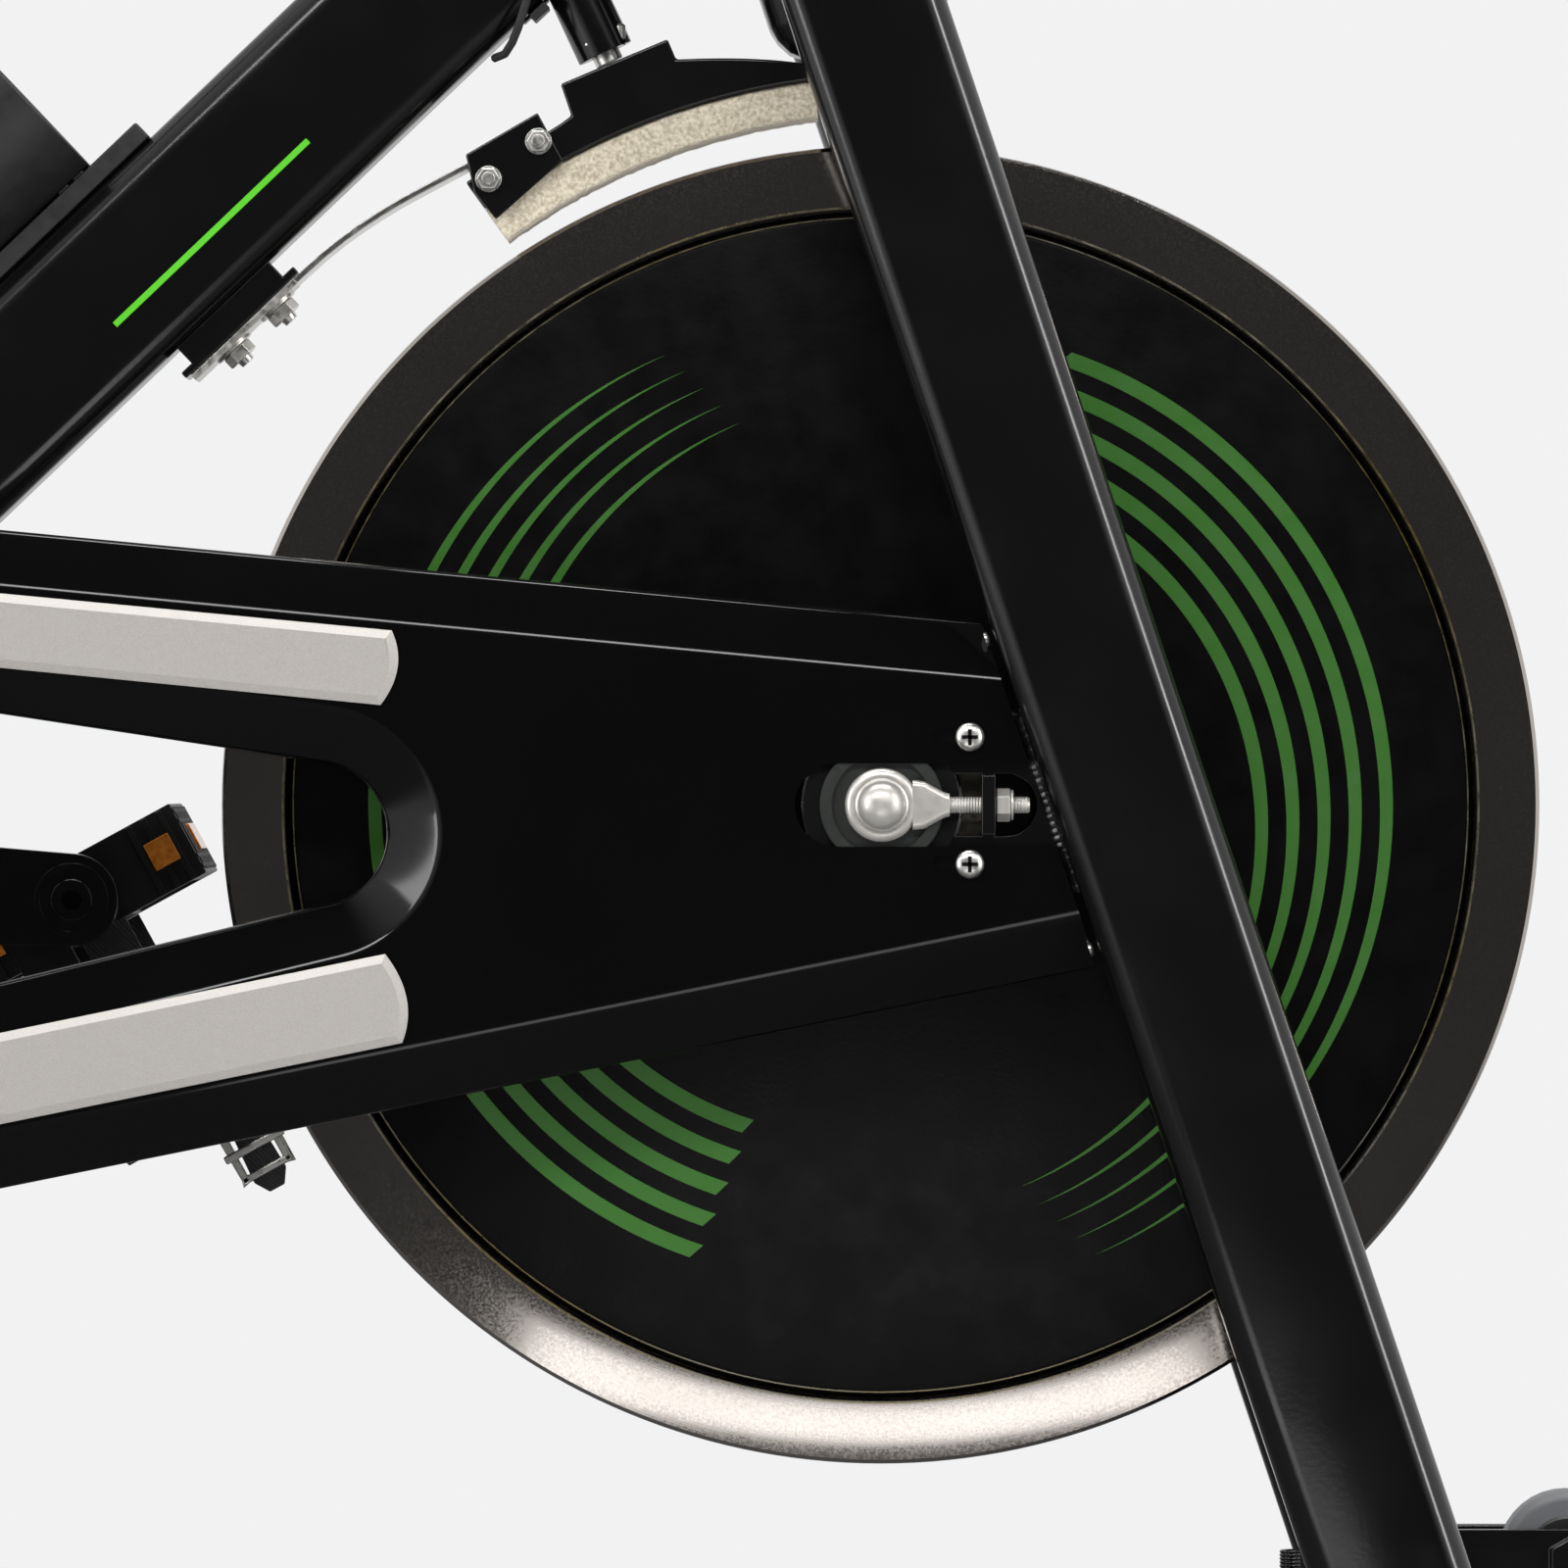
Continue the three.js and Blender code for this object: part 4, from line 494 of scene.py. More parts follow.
beads = []
for side in (-1, 1):
    for face in (57.6, 61.4):
        beads.append(
            bead([[leg_back(z) - 0.4, side * face, z] for z in np.linspace(-30, 31, 12)], 2.3, 3 + side)
        )
    behind = leg_back(31)
    beads.append(bead([[behind - 1, side * 59.5, 31], [behind - 15, side * 59.5, 30.6]], 1.6, 5))
    t = np.linspace(0, 2 * np.pi, 60)
    round_foot = [
        leg_low[0] + 29 * squared(np.cos(t)),
        side * 60 + 15.6 * squared(np.sin(t)),
        np.full(60, foot_level + 0.6),
    ]
    beads.append(bead(np.stack(round_foot, 1), 1.8, 11 + side))
corner = rounded_section(60, 40, 10, 6)
meet = []
for a, y in np.vstack([corner, corner[:1]]):
    start = HEAD + main_across * a
    gap = np.dot(start - (HEAD - fork_across * 33), fork_across) / -np.dot(main_down, fork_across)
    meet.append(at_y(start + main_down * gap, y))
beads.append(bead(meet, 2.2, 21))
meet = []
for a, y in np.vstack([corner, corner[:1]]) * [56 / 60, 1]:
    start = seat_base + seat_across * a
    gap = np.dot(start - (seat_base + main_across * 30), main_across) / -np.dot(seat_up, main_across)
    meet.append(at_y(start + seat_up * gap, y))
beads.append(bead(meet, 2.2, 22))
piece("weld_beads", beads, bead_coat)

# ------------------------------------------------------------------ green line on the main tube
# A cut vinyl line laid along each side of the tube, satin, with a hair of thickness at its edge.
green_vinyl = coating("satin_green_vinyl", (60, "#43a50e", "#4ab113"), (8, 0.4, 0.5), (1.6, 2.0, 0.01))
line_ends = ((223, -8.2), (223, -10.4), (316, -10.4), (316, -8.2))
line_corners = [on(HEAD, main_down, s, main_across, a) for s, a in line_ends]
line_parts = [prism(line_corners, side * 19.9, side * 20.12) for side in (-1, 1)]
piece("main_tube_line", line_parts, green_vinyl)

# ------------------------------------------------------------------ flywheel
# Cast iron, turned on a lathe: the rim is polished and plated, and the web between rim and hub is
# sprayed satin black. The rim's face leans back a little towards its edge, so its foot mirrors the floor.
polished_rim, tree = new_material("polished_plated_rim")
from_axle = add(
    tree, "ShaderNodeVectorMath", {0: object_place(tree), 1: tuple(AXLE.tolist())}, operation="SUBTRACT"
)
sides_of = add(tree, "ShaderNodeSeparateXYZ", {0: from_axle.outputs[0]})
squares = [maths(tree, "POWER", sides_of.outputs[side], 2.0) for side in ("X", "Z")]
reach = maths(tree, "POWER", maths(tree, "ADD", *squares), 0.5)
lathe_lines = {"W": reach, "Scale": 2600.0, "Detail": 2.0}
rings = add(tree, "ShaderNodeTexNoise", lathe_lines, noise_dimensions="1D").outputs[0]
speckle = grain(tree, 0.9, 1.0)
surface_shader(
    tree,
    two_colours(tree, grain(tree, 70), "#a19a94", "#b4aea9"),
    between(tree, speckle, 0.07, 0.14),
    metallic=1.0,
    normal=bump(tree, rings, 0.004, 0.5),
)
satin_web = coating(
    "satin_black_spray",
    (120, "#040303", "#060505"),
    (14, 0.26, 0.34),
    (1.7, 1.0, 0.03),
    Specular_IOR_Level=0.12,
)
gold_line, tree = new_material("yellow_passivate_edge")
surface_shader(
    tree,
    two_colours(tree, between(tree, grain(tree, 160, 1.0), 0.0, 1.0), "#a39f98", "#8f7f3c"),
    between(tree, grain(tree, 5), 0.22, 0.36),
    metallic=1.0,
)


def mirrored(profile):
    """A half profile from the bore outwards, joined to its mirror image on the other side."""
    half = np.asarray(profile, float)
    return np.concatenate([half * [1, -1], half[::-1]])


LATHE = (0.0, 1.0, 0.0)
UP = (0.0, 0.0, 1.0)
CENTRE = (0, 0, 0)
rim_profile = [(205.5, 6), (206.6, 8.4), (207.2, 10.2), (207.9, 10.9), (209.0, 10.95)]
rim_profile += [(228.6, 9.3), (229.6, 8.6), (230, 7.4)]
piece(
    "flywheel_rim",
    [turned(mirrored(rim_profile), CENTRE, LATHE, 240)],
    polished_rim,
    "flywheel",
    nodes=["flywheel"],
    angle=24,
)


def lip(r, y, w):
    """A fine raised line at radius r: a ridge 2 w wide that stands 0.6 mm high and ends at y."""
    foot = y - math.copysign(0.6, y)
    return turned([(r - w, foot), (r + w, foot), (r + 0.7 * w, y), (r - 0.7 * w, y)], CENTRE, LATHE, 240)


piece(
    "flywheel_edge_lines",
    [lip(r, s * y, w) for s in (-1, 1) for r, y, w in ((205.0, 8.35, 0.3), (208.6, 11.0, 0.45))],
    gold_line,
    "flywheel",
)
web_profile = [(22.3, 9), (43, 9), (44.5, 8.1), (46, 8), (203.5, 8), (205.4, 7.6), (206.4, 6.4)]
piece(
    "flywheel_web",
    [turned(mirrored(web_profile), CENTRE, LATHE, 200)],
    satin_web,
    "flywheel",
    angle=24,
)

# Five tapering arcs in two groups, half a turn apart, screen printed on both faces of the web.
green_print = coating("green_screen_print", (90, "#255613", "#2b6017"), (9, 0.34, 0.44), (1.7, 1.0, 0.02))


def arc_stripe(number, start, side):
    """One stripe: its radius and its width run smoothly from the blunt end at start, clockwise, to the tip.
    Radius is 168.6 - 11.8 n at the blunt end, 176.5 - 10.9 n half way and 174 - 8 n at the tip, on a
    parabola. Width is 5.6 (1 - u^2.4) + 0.05, with u from 0 at the blunt end to 1 at the tip."""
    u = np.linspace(0, 1, 90)
    blunt, middle, tip = 168.6 - 11.8 * number, 176.5 - 10.9 * number, 174 - 8.0 * number
    radius = blunt * (1 - u) * (1 - 2 * u) + middle * 4 * u * (1 - u) + tip * u * (2 * u - 1)
    width = 5.6 * (1 - u**2.4) + 0.05
    turn = np.radians(start - (132 + 1.3 * number) * u)
    slant = np.radians(0.5) * (1 - u) ** 8
    corners = []
    for edge, y in ((1, 7.9), (1, 8.14), (-1, 8.14), (-1, 7.9)):
        r, t = radius + edge * width / 2, turn - edge * slant
        corners.append(np.stack([r * np.cos(t), np.full(90, side * y), r * np.sin(t)], 1))
    return swept(np.stack(corners, 1))


for side, word in ((-1, "right"), (1, "left")):
    piece(
        "flywheel_stripes_" + word,
        [arc_stripe(number, start, side) for number in range(5) for start in (67.6, -112.4)],
        green_print,
        "flywheel",
    )
zinc = coating(
    "bright_zinc_plate", (9, "#c9c7c2", "#e2e0dc"), (3, 0.24, 0.4), (0.6, 2.0, 0.006), metallic=1.0
)
eased("flywheel_hub", satin_web, "flywheel")
for node in ("hub_bearing_right", "hub_bearing_left", "drive_sprocket"):
    eased(node, zinc, "flywheel")

# ------------------------------------------------------------------ chain guard
# Two injection-moulded ABS shells, gloss black, that close round the chain like a wishbone.
# The face stands out from a broad bevel, and the light draws a thin line along every moulded edge.
gloss_abs = coating(
    "gloss_black_abs", (120, "#040404", "#060606"), (60, 0.07, 0.12), (26, 1.0, 0.02), Specular_IOR_Level=0.3
)
CRANK = np.array([-451.6, -25.6])
GUARD_R = 134.0
WINDOW = np.array([-195.6, -9.8])


def front_x(z):
    """How far forward the guard's front end is at that height: 29.5 mm behind the leg's centre line."""
    return HEAD[0] - (z - HEAD[1]) * math.tan(math.radians(18.5)) - 29.5 / math.cos(math.radians(18.5))


def tangent_normal(z, side):
    """The direction, in degrees, square to the line from the front corner at z to the round end."""
    dx, dz = front_x(z) - CRANK[0], z - CRANK[1]
    return math.degrees(math.atan2(dz, dx) + side * math.acos(GUARD_R / math.hypot(dx, dz)))


top_normal, bottom_normal = tangent_normal(63, 1), tangent_normal(-56, -1)
front_reach = np.dot([front_x(0), 0] - CRANK, fork_across)


def corner_at(normal, distance):
    """Where the arm's edge, that far from the crank axis, meets the guard's front end."""
    rows = np.array([way(normal), fork_across])
    return CRANK + np.linalg.solve(rows, [distance, front_reach])


def straight(start, end, steps):
    """Evenly spaced points from start up to but not including end."""
    return start + (end - start) * np.linspace(0, 1, steps, endpoint=False)[:, None]


def arc(centre, radius, first, last, steps):
    """Points on a circle from the first angle to the last, in degrees."""
    t = np.radians(np.linspace(first, last, steps))
    return centre + radius * np.stack([np.cos(t), np.sin(t)], 1)


def guard_edge(inset):
    """The guard's outline from its top front corner, round the crank, to its bottom front corner."""
    r = GUARD_R - inset
    top, bottom = corner_at(top_normal, r), corner_at(bottom_normal, r)
    end = arc(CRANK, r, top_normal, bottom_normal + 360, 97)
    return np.concatenate([straight(top, end[0], 12), end, straight(bottom, end[-1], 12)[::-1]])


def window_edge(inset):
    """The window's outline: a round front, two straight sides that open out, an arc about the crank."""
    r, rear = 24.5 + inset, 120 - 0.4 * inset
    upper, lower = 81.4, -76.4
    ends = []
    for normal, slope in ((upper, 171.4), (lower, 193.6)):
        start = WINDOW + r * way(normal)
        along = np.dot(start - CRANK, way(slope))
        root = math.sqrt(along**2 - (np.dot(start - CRANK, start - CRANK) - rear**2))
        ends.append(start + way(slope) * (-along - root))
    nose = arc(WINDOW, r, lower, upper, 41)
    first, last = (math.degrees(math.atan2(*(end - CRANK)[::-1])) for end in ends)
    back = arc(CRANK, rear, first, last, 25)
    sides = straight(nose[-1], back[0], 10), straight(back[-1], nose[0], 10)
    return np.concatenate([nose[:-1], sides[0], back[:-1], sides[1]])


def skin(rings, around):
    """Rings joined by quads, with the ends left open. around joins each ring's last point to its first."""
    rings = np.asarray(rings, float)
    count, size = rings.shape[:2]
    i, j = np.meshgrid(np.arange(count - 1), np.arange(size if around else size - 1), indexing="ij")
    j2 = (j + 1) % size
    quads = np.stack([i * size + j, (i + 1) * size + j, (i + 1) * size + j2, i * size + j2], -1)
    return rings.reshape(-1, 3), quads.reshape(-1, 4).tolist()


def raised(outline, y):
    """An outline of (x, z) points at that y."""
    return np.stack([outline[:, 0], np.full(len(outline), float(y)), outline[:, 1]], 1)


def flat_face(loops, y):
    """A flat face at y inside the first loop and outside the others."""
    corners = np.concatenate(loops)
    faces = tessellate_polygon([[Vector((a, b, 0)) for a, b in loop.tolist()] for loop in loops])
    return raised(corners, y), [list(face) for face in faces]


def stadium(x0, x1, z, half, steps=12):
    """A slot's outline with round ends."""
    front = arc(np.array([x1 - half, z]), half, -90, 90, steps)
    rear = arc(np.array([x0 + half, z]), half, 90, 270, steps)
    return np.concatenate([front, rear])


def shell(face_y, split_y, wide, deep, notch, holes):
    """One half of the guard: side, bevel and face. notch opens the face's front edge.
    Each edge of the bevel is an arc tangent to both neighbours: centre - r (sin b, cos b), b its tilt."""
    inward = math.copysign(1.0, split_y - face_y)
    tilt = math.atan2(deep, wide)
    corner_r, face_r = 0.16 * wide, 0.42 * wide
    rise = corner_r * math.tan((math.pi / 2 - tilt) / 2)
    lead = face_r * math.tan(tilt / 2)
    layers = [(0.0, split_y)]
    for r, centre, first, last in (
        (corner_r, (corner_r, deep + rise), math.pi / 2, tilt),
        (face_r, (wide + lead, face_r), tilt, 0.0),
    ):
        for b in np.linspace(first, last, 7):
            layers.append((centre[0] - r * math.sin(b), face_y + inward * (centre[1] - r * math.cos(b))))
    layers.append((wide + lead + 0.5, face_y))
    sides = skin([raised(guard_edge(inset), y) for inset, y in layers], False)
    window = skin([raised(window_edge(inset), y) for inset, y in layers], True)
    last = layers[-1][0]
    rim = [np.concatenate([guard_edge(last), notch]), window_edge(last)]
    return [sides, window, flat_face([*rim, *holes], face_y)]


FACE_Y, SPLIT_Y, BACK_Y = -66, -45.3, -24  # the outer face, where the shells meet, and the inner face
SCREW_HEIGHTS = (23.4, -20.4)
channel = np.concatenate(
    [[[front_x(-14.4), -14.4]], arc(np.array([-15.6, 0.0]), 14.4, 270, 90, 25), [[front_x(14.4), 14.4]]]
)
outer_holes = [arc(CRANK, 30, 0, 360, 61)[:-1], *(stadium(17.5, 34.5, z, 3.1) for z in SCREW_HEIGHTS)]
outer = piece(
    "chain_guard_outer_shell",
    shell(FACE_Y, SPLIT_Y, 19, 12, channel, outer_holes),
    gloss_abs,
    nodes=["chain_guard_outer"],
    angle=38,
    facing=(0, -1, 0),
)
inner_holes = [arc(centre, r, 0, 360, 61)[:-1] for centre, r in ((CRANK, 21), (np.zeros(2), 28))]
inner = piece(
    "chain_guard_inner_shell",
    shell(BACK_Y, SPLIT_Y + 0.3, 7, 7, np.zeros((0, 2)), inner_holes),
    gloss_abs,
    nodes=["chain_guard_inner"],
    angle=38,
    facing=(0, 1, 0),
)
for half in (outer, inner):
    wall = half.modifiers.new("wall", "SOLIDIFY")
    wall.thickness, wall.offset = 2.4 * MM, -1.0
    evaluated = half.evaluated_get(bpy.context.evaluated_depsgraph_get())
    walled = bpy.data.meshes.new_from_object(evaluated)
    half.modifiers.clear()
    half.data = walled
    walled.shade_smooth()
    walled.set_sharp_from_angle(angle=math.radians(30))
silver_paint, tree = new_material("silver_metallic_paint")
flake = grain(tree, 0.55, 1.0)
surface_shader(
    tree,
    two_colours(tree, flake, "#98948f", "#b0aca9"),
    between(tree, flake, 0.34, 0.5),
    metallic=0.35,
    normal=bump(tree, flake, 0.012),
)


def trim_outline(side, inset):
    """A strip's outline, inset mm inside its edge: two straight sides and a front end on a parabola."""
    normal = top_normal if side > 0 else bottom_normal
    slope, cut, reach = (174.4, 179.4, 23.0) if side > 0 else (191.6, 187.4, 25.0)
    ahead = way(normal - side * 90)
    outer = CRANK + (GUARD_R - 22) * way(normal)
    tip = outer + ahead * (-CRANK[0] - cut) / ahead[0]
    inner = WINDOW + [0, side * 46.5]
    front, rear = inner + reach * way(slope - 180), inner + 150 * way(slope)
    pull = np.array([tip[0] + 6, (tip[1] + front[1]) / 2])
    u = np.linspace(0, 1, 17)[:, None]
    end = (1 - u) ** 2 * tip + 2 * u * (1 - u) * pull + u**2 * front
    outline = np.concatenate([[outer + 20 * ahead], end, [rear]])
    edges = np.roll(outline, -1, axis=0) - outline
    inward = np.stack([edges[:, 1], -edges[:, 0]], 1) * side
    inward /= np.linalg.norm(edges, axis=1)[:, None]
    before = np.roll(inward, 1, axis=0)
    return outline + inset * (inward + before) / (1 + (inward * before).sum(1))[:, None]


for word, side in (("upper", 1), ("lower", -1)):
    layers = ((0.0, -66.3), (0.0, -66.7), (3.0, -67.75))
    piece(
        "guard_trim_%s_plate" % word,
        [swept(np.stack([raised(trim_outline(side, inset), y) for inset, y in layers]))],
        silver_paint,
        nodes=["guard_trim_" + word],
        angle=12,
        edge=0.12,
    )
# Dark matt plastic for the black axle spacers. It is also painted shade: thin dark crosses and hexagons on
# screw heads and crank eyes stand in for the shade inside their recesses.
black_plastic_and_recess_shade = coating(
    "black_plastic_and_painted_recess_shade", (20, "#050505", "#080808"), (3, 0.5, 0.65), Specular_IOR_Level=0.1
)


def pan_screw(centre, axis, radius):
    """A pan head: a low dome on a short rim, as a profile turned about the screw."""
    profile = [(0, 0), (1, 0), (1, 0.3), (0.93, 0.46), (0.72, 0.6), (0.4, 0.66), (0, 0.68)]
    return turned(np.array(profile) * radius, centre, axis, 32)


def recess_shade_cross(centre, axis, radius, up=(0.0, 0.0, 1.0)):
    """The cross of a driver recess as painted shade: two crossed tapered bars that just break the head's
    surface, to be drawn dark where the hollow would lie in shade.
    """
    r = radius
    bars = []
    for degrees in (0, 90):
        c, s = math.cos(math.radians(degrees)), math.sin(math.radians(degrees))
        along = np.cross(axis, up) * c + np.asarray(up) * s
        bar = block(-0.56 * r, 0.56 * r, -0.13 * r, 0.13 * r, 0.1 * r, 0.7 * r)
        bars.append(lying(bar, centre, along, np.cross(axis, along)))
    return bars


FACE = (0.0, -1.0, 0.0)
guard_screws = [((30.3, -65.9, z), FACE, 5.0) for z in SCREW_HEIGHTS]
guard_screws += [((front_x(z) - 0.8, -59.5, z), at_y(fork_across), 2.6) for z in (57, -50)]
piece("guard_screws", [pan_screw(*screw) for screw in guard_screws], zinc, angle=50)
# No recess is cut in the guard screws' heads. Dark crossed bars on them are painted shade for it.
piece(
    "guard_screw_recess_shade",
    [bar for screw in guard_screws[:2] for bar in recess_shade_cross(*screw)],
    black_plastic_and_recess_shade,
)

# ------------------------------------------------------------------ axle, tensioners and brackets
# Each end of the axle is held by an eyebolt that a nut draws forward through a tab. The eye is forged,
# the thread is cut, a domed nut closes the axle, and all are satin zinc but the dark spacers behind.
def hexagon(radius, along, start, end, origin, chamfer=0.12):
    """A hexagonal nut or head along an axis, its corners turned back at both ends."""
    run = np.asarray(along, float) / np.linalg.norm(along)
    u = np.cross(run, [0.0, 1.0, 0.0] if abs(run[1]) < 0.9 else [0.0, 0.0, 1.0])
    u /= np.linalg.norm(u)
    v = np.cross(run, u)
    t = np.linspace(0, 2 * np.pi, 6, endpoint=False)
    spokes = np.cos(t)[:, None] * u + np.sin(t)[:, None] * v
    cut = chamfer * radius
    stations = [(start, 0.9), (start + cut * 0.6, 1.0), (end - cut * 0.6, 1.0), (end, 0.9)]
    return swept([np.asarray(origin) + run * s + spokes * radius * k for s, k in stations])


def thread(start, end, radius, origin, along, pitch=1.0, sides=20):
    """A screw thread as rings: a zigzag profile, 0.42 of the pitch deep, turned about the screw."""
    s = np.arange(start, end, pitch / 2)
    r = radius - np.where(np.arange(len(s)) % 2, pitch * 0.42, 0.0)
    tip = s[-1] + pitch / 2
    profile = np.concatenate([[[0, start]], np.stack([r, s], 1), [[radius * 0.8, tip], [0, tip]]])
    return turned(profile, origin, along, sides)


satin_zinc = coating(
    "satin_zinc_plate", (9, "#aeaba6", "#c6c3be"), (3, 0.3, 0.42), (0.6, 2.0, 0.006), metallic=0.62
)
spacer_grey = coating("phosphated_steel", (3, "#1d201e", "#2a2d2a"), (2, 0.4, 0.55), metallic=0.4)
forward = np.array([1.0, 0.0, 0.0])
SCREW_Y = 65.4  # the eyebolts' middle
# Profiles as (radius, distance out along the axle), and the neck as (forward, half height, half width).
eye_profile = [(7.2, 62.4), (11.6, 62.4), (12.5, 63.2), (12.7, 64.4), (12.7, 66.2), (12.4, 67.4)]
eye_profile += [(11.4, 68.3), (9.6, 68.5), (8.0, 68.2), (7.2, 67.4)]
dome_profile = [(0, 68.6), (8.9, 68.6), (9.2, 69.0), (9.2, 69.8), (8.4, 70.2), (8.3, 72.6), (8.1, 74.4)]
dome_profile += [(7.0, 76.2), (5.2, 77.6), (2.8, 78.4), (0, 78.7)]
backing_profile = [(8.5, 62.15), (26.5, 62.15), (27.0, 62.5), (27.0, 62.7), (8.5, 62.7)]
ring_profile = [(8.5, 62.72), (21.0, 62.72), (21.4, 63.1), (21.4, 65.0), (21.0, 65.4)]
ring_profile += [(17.4, 65.4), (17.0, 65.0), (17.0, 63.2), (8.5, 63.2)]
neck = ((10.6, 8.6, 3.0), (14.5, 8.2, 3.0), (18.5, 6.0, 3.1), (21.5, 4.4, 3.2), (23.4, 3.9, 3.3))
for word, side in (("right", -1), ("left", 1)):
    outward = np.array([0.0, float(side), 0.0])
    shank_rings = []
    for x, deep, wide in neck:
        ring = rounded_section(2 * deep, 2 * wide, min(deep, wide) * 0.7, 5)
        shank_rings.append(np.stack([np.full(len(ring), x), side * SCREW_Y + ring[:, 1], ring[:, 0]], 1))
    screw_at = np.array([0.0, side * SCREW_Y, 0.0])
    piece(
        "tensioner_%s_fittings" % word,
        [
            turned(eye_profile, CENTRE, outward, 64),
            swept(shank_rings),
            turned(dome_profile, CENTRE, outward, 64),
            thread(22, 51, 3.0, screw_at, forward),
            hexagon(5.8, forward, 39.4, 44.4, screw_at),
            turned([(3.0, 44.5), (5.2, 44.5), (5.2, 45.3), (3.0, 45.3)], screw_at, forward, 32),
        ],
        satin_zinc,
        nodes=["tensioner_" + word],
        edge=0.18,
        angle=46,
    )
    piece("axle_spacer_%s_outer" % word, [turned(backing_profile, CENTRE, outward, 64)], black_plastic_and_recess_shade)
    piece("axle_spacer_%s_inner" % word, [turned(ring_profile, CENTRE, outward, 64)], spacer_grey)
sleeved = [(0, -68.7), (6, -68.7), (6, -56.7), (12, -56.7), (12, -46.3), (6, -46.3)]
sleeved += [(6, 26.3), (12, 26.3), (12, 56.7), (6, 56.7), (6, 68.7), (0, 68.7)]
piece(
    "wheel_axle",
    [turned(sleeved, CENTRE, LATHE, 48)],
    satin_zinc,
    nodes=["flywheel_axle"],
    edge=0.3,
    angle=46,
)

# ------------------------------------------------------------------ brake
# A pressed felt pad is glued under a curved steel shoe. A leaf of spring steel, bolted under the main
# tube, carries the shoe, and the rod in the guide tube pushes down on the shoe's block.
felt, tree = new_material("pressed_wool_felt")
fibres = grain(tree, 1.3, 6.0, (1, 3.5, 1))
spread = add(tree, "ShaderNodeMapRange", {0: fibres, 1: 0.3, 2: 0.72}).outputs[0]
surface_shader(
    tree,
    two_colours(tree, spread, "#978d78", "#d0c7b4"),
    between(tree, grain(tree, 4), 0.85, 1.0),
    normal=bump(tree, fibres, 0.5),
    Sheen_Weight=0.3,
)
LEAF_REAR = np.array([-232.0, 156.5])


def lifted(points, degrees=2.4):
    """The (x, z) points swung up about the leaf's rear end, as the shoe stands with the brake off."""
    c, s = math.cos(math.radians(degrees)), math.sin(math.radians(degrees))
    away = np.asarray(points, float) - LEAF_REAR
    return LEAF_REAR + away @ np.array([[c, s], [-s, c]])


pad_arc = np.linspace(-33.7, -4.6, 60)
PAD_R = 237.7  # the pad's middle, before it is lifted
rough = np.random.default_rng(4).normal(0, 0.12, (2, 60))[0]
pad_rings = []
for k, degrees in enumerate(pad_arc):
    out = way(90 - degrees)
    section = rounded_section(13, 30, 1.6, 4) + [[rough[k], 0]]
    flat = lifted((PAD_R + section[:, :1]) * out[None])
    pad_rings.append(np.stack([flat[:, 0], section[:, 1], flat[:, 1]], 1))
piece("brake_felt", [swept(pad_rings)], felt, "brake_shoe", nodes=["brake_pad"], angle=40)
eased("brake_shoe", powder_coat, "brake_shoe", edge=0.9, segments=3)
clip_outline = np.array([[-144.6, 226.4], [-119.5, 241.0], [-110.6, 224.5], [-134.0, 203.8], [-141.5, 213.0]])
clip_bolts = [(-136.6, 217.9), (-119.2, 231.0)]
for word, side in (("right", -1), ("left", 1)):
    piece(
        "brake_clip_" + word,
        [prism(clip_outline, side * 17.1, side * 19.6)],
        powder_coat,
        "brake_shoe",
        edge=0.7,
        segments=3,
    )
    outward = np.array([0.0, float(side), 0.0])
    piece(
        "brake_clip_bolts_" + word,
        [
            part
            for x, z in clip_bolts
            for part in (
                turned([(0, 19.6), (4.6, 19.6), (4.6, 20.3), (0, 20.3)], (x, 0, z), outward, 32),
                hexagon(4.2, outward, 20.3, 23.2, (x, 0, z)),
                turned([(0, 23.0), (2.3, 23.0), (2.2, 24.4), (0, 24.5)], (x, 0, z), outward, 24),
            )
        ],
        zinc,
        "brake_shoe",
        edge=0.15,
    )
spring_steel, tree = new_material("tempered_spring_steel")
draw = grain(tree, 5, 3.0, (1, 6, 1))
surface_shader(
    tree,
    two_colours(tree, draw, "#c9c6c2", "#e4e2de"),
    between(tree, draw, 0.16, 0.28),
    metallic=1.0,
    normal=bump(tree, draw, 0.01),
)
eased("leaf_spring", spring_steel, "brake_shoe", edge=0.3)


def under_tube(s, a, y):
    """A point s down the main tube from the fork's line, a aside of the tube's middle, and y across."""
    return at_y(on(HEAD, main_down, s, main_across, a), y)


def tube_block(s0, s1, a0, a1, y0, y1):
    """A block lined up with the main tube."""
    part = block(s0, s1, a0, a1, y0, y1)
    corners = part[0]
    flat = HEAD + corners[:, :1] * main_down + corners[:, 1:2] * main_across
    return np.stack([flat[:, 0], corners[:, 2], flat[:, 1]], 1), part[1]


piece(
    "leaf_bracket",
    [
        tube_block(257, 311, -39.6, -37.0, -14, 14),
        tube_block(262, 306, -38, -29.5, -14, -11.4),
        tube_block(262, 306, -38, -29.5, 11.4, 14),
    ],
    powder_coat,
    edge=0.6,
    segments=3,
)
down = -at_y(main_across)
bracket_bolts = [tube_block(260, 309, -42.3, -40.1, -14.2, 14.2)]
for s in (270.5, 291.5):
    foot = under_tube(s, -42.2, 0)
    bracket_bolts += [
        turned([(0, 0), (7.6, 0), (7.6, 1.2), (0, 1.2)], foot, down, 36),
        hexagon(5.8, down, 1.2, 5.6, foot),
        turned([(0, 5.4), (2.9, 5.4), (2.6, 7.6), (0, 7.7)], foot, down, 20),
    ]
piece("leaf_bracket_bolts", bracket_bolts, zinc, "brake_shoe", edge=0.2)
eased("brake_rod", zinc, "brake_rod", edge=0.3)
lock_profile = [(0, 0), (1.9, 0), (1.9, 6.5), (1.4, 7.2), (0, 7.2)]
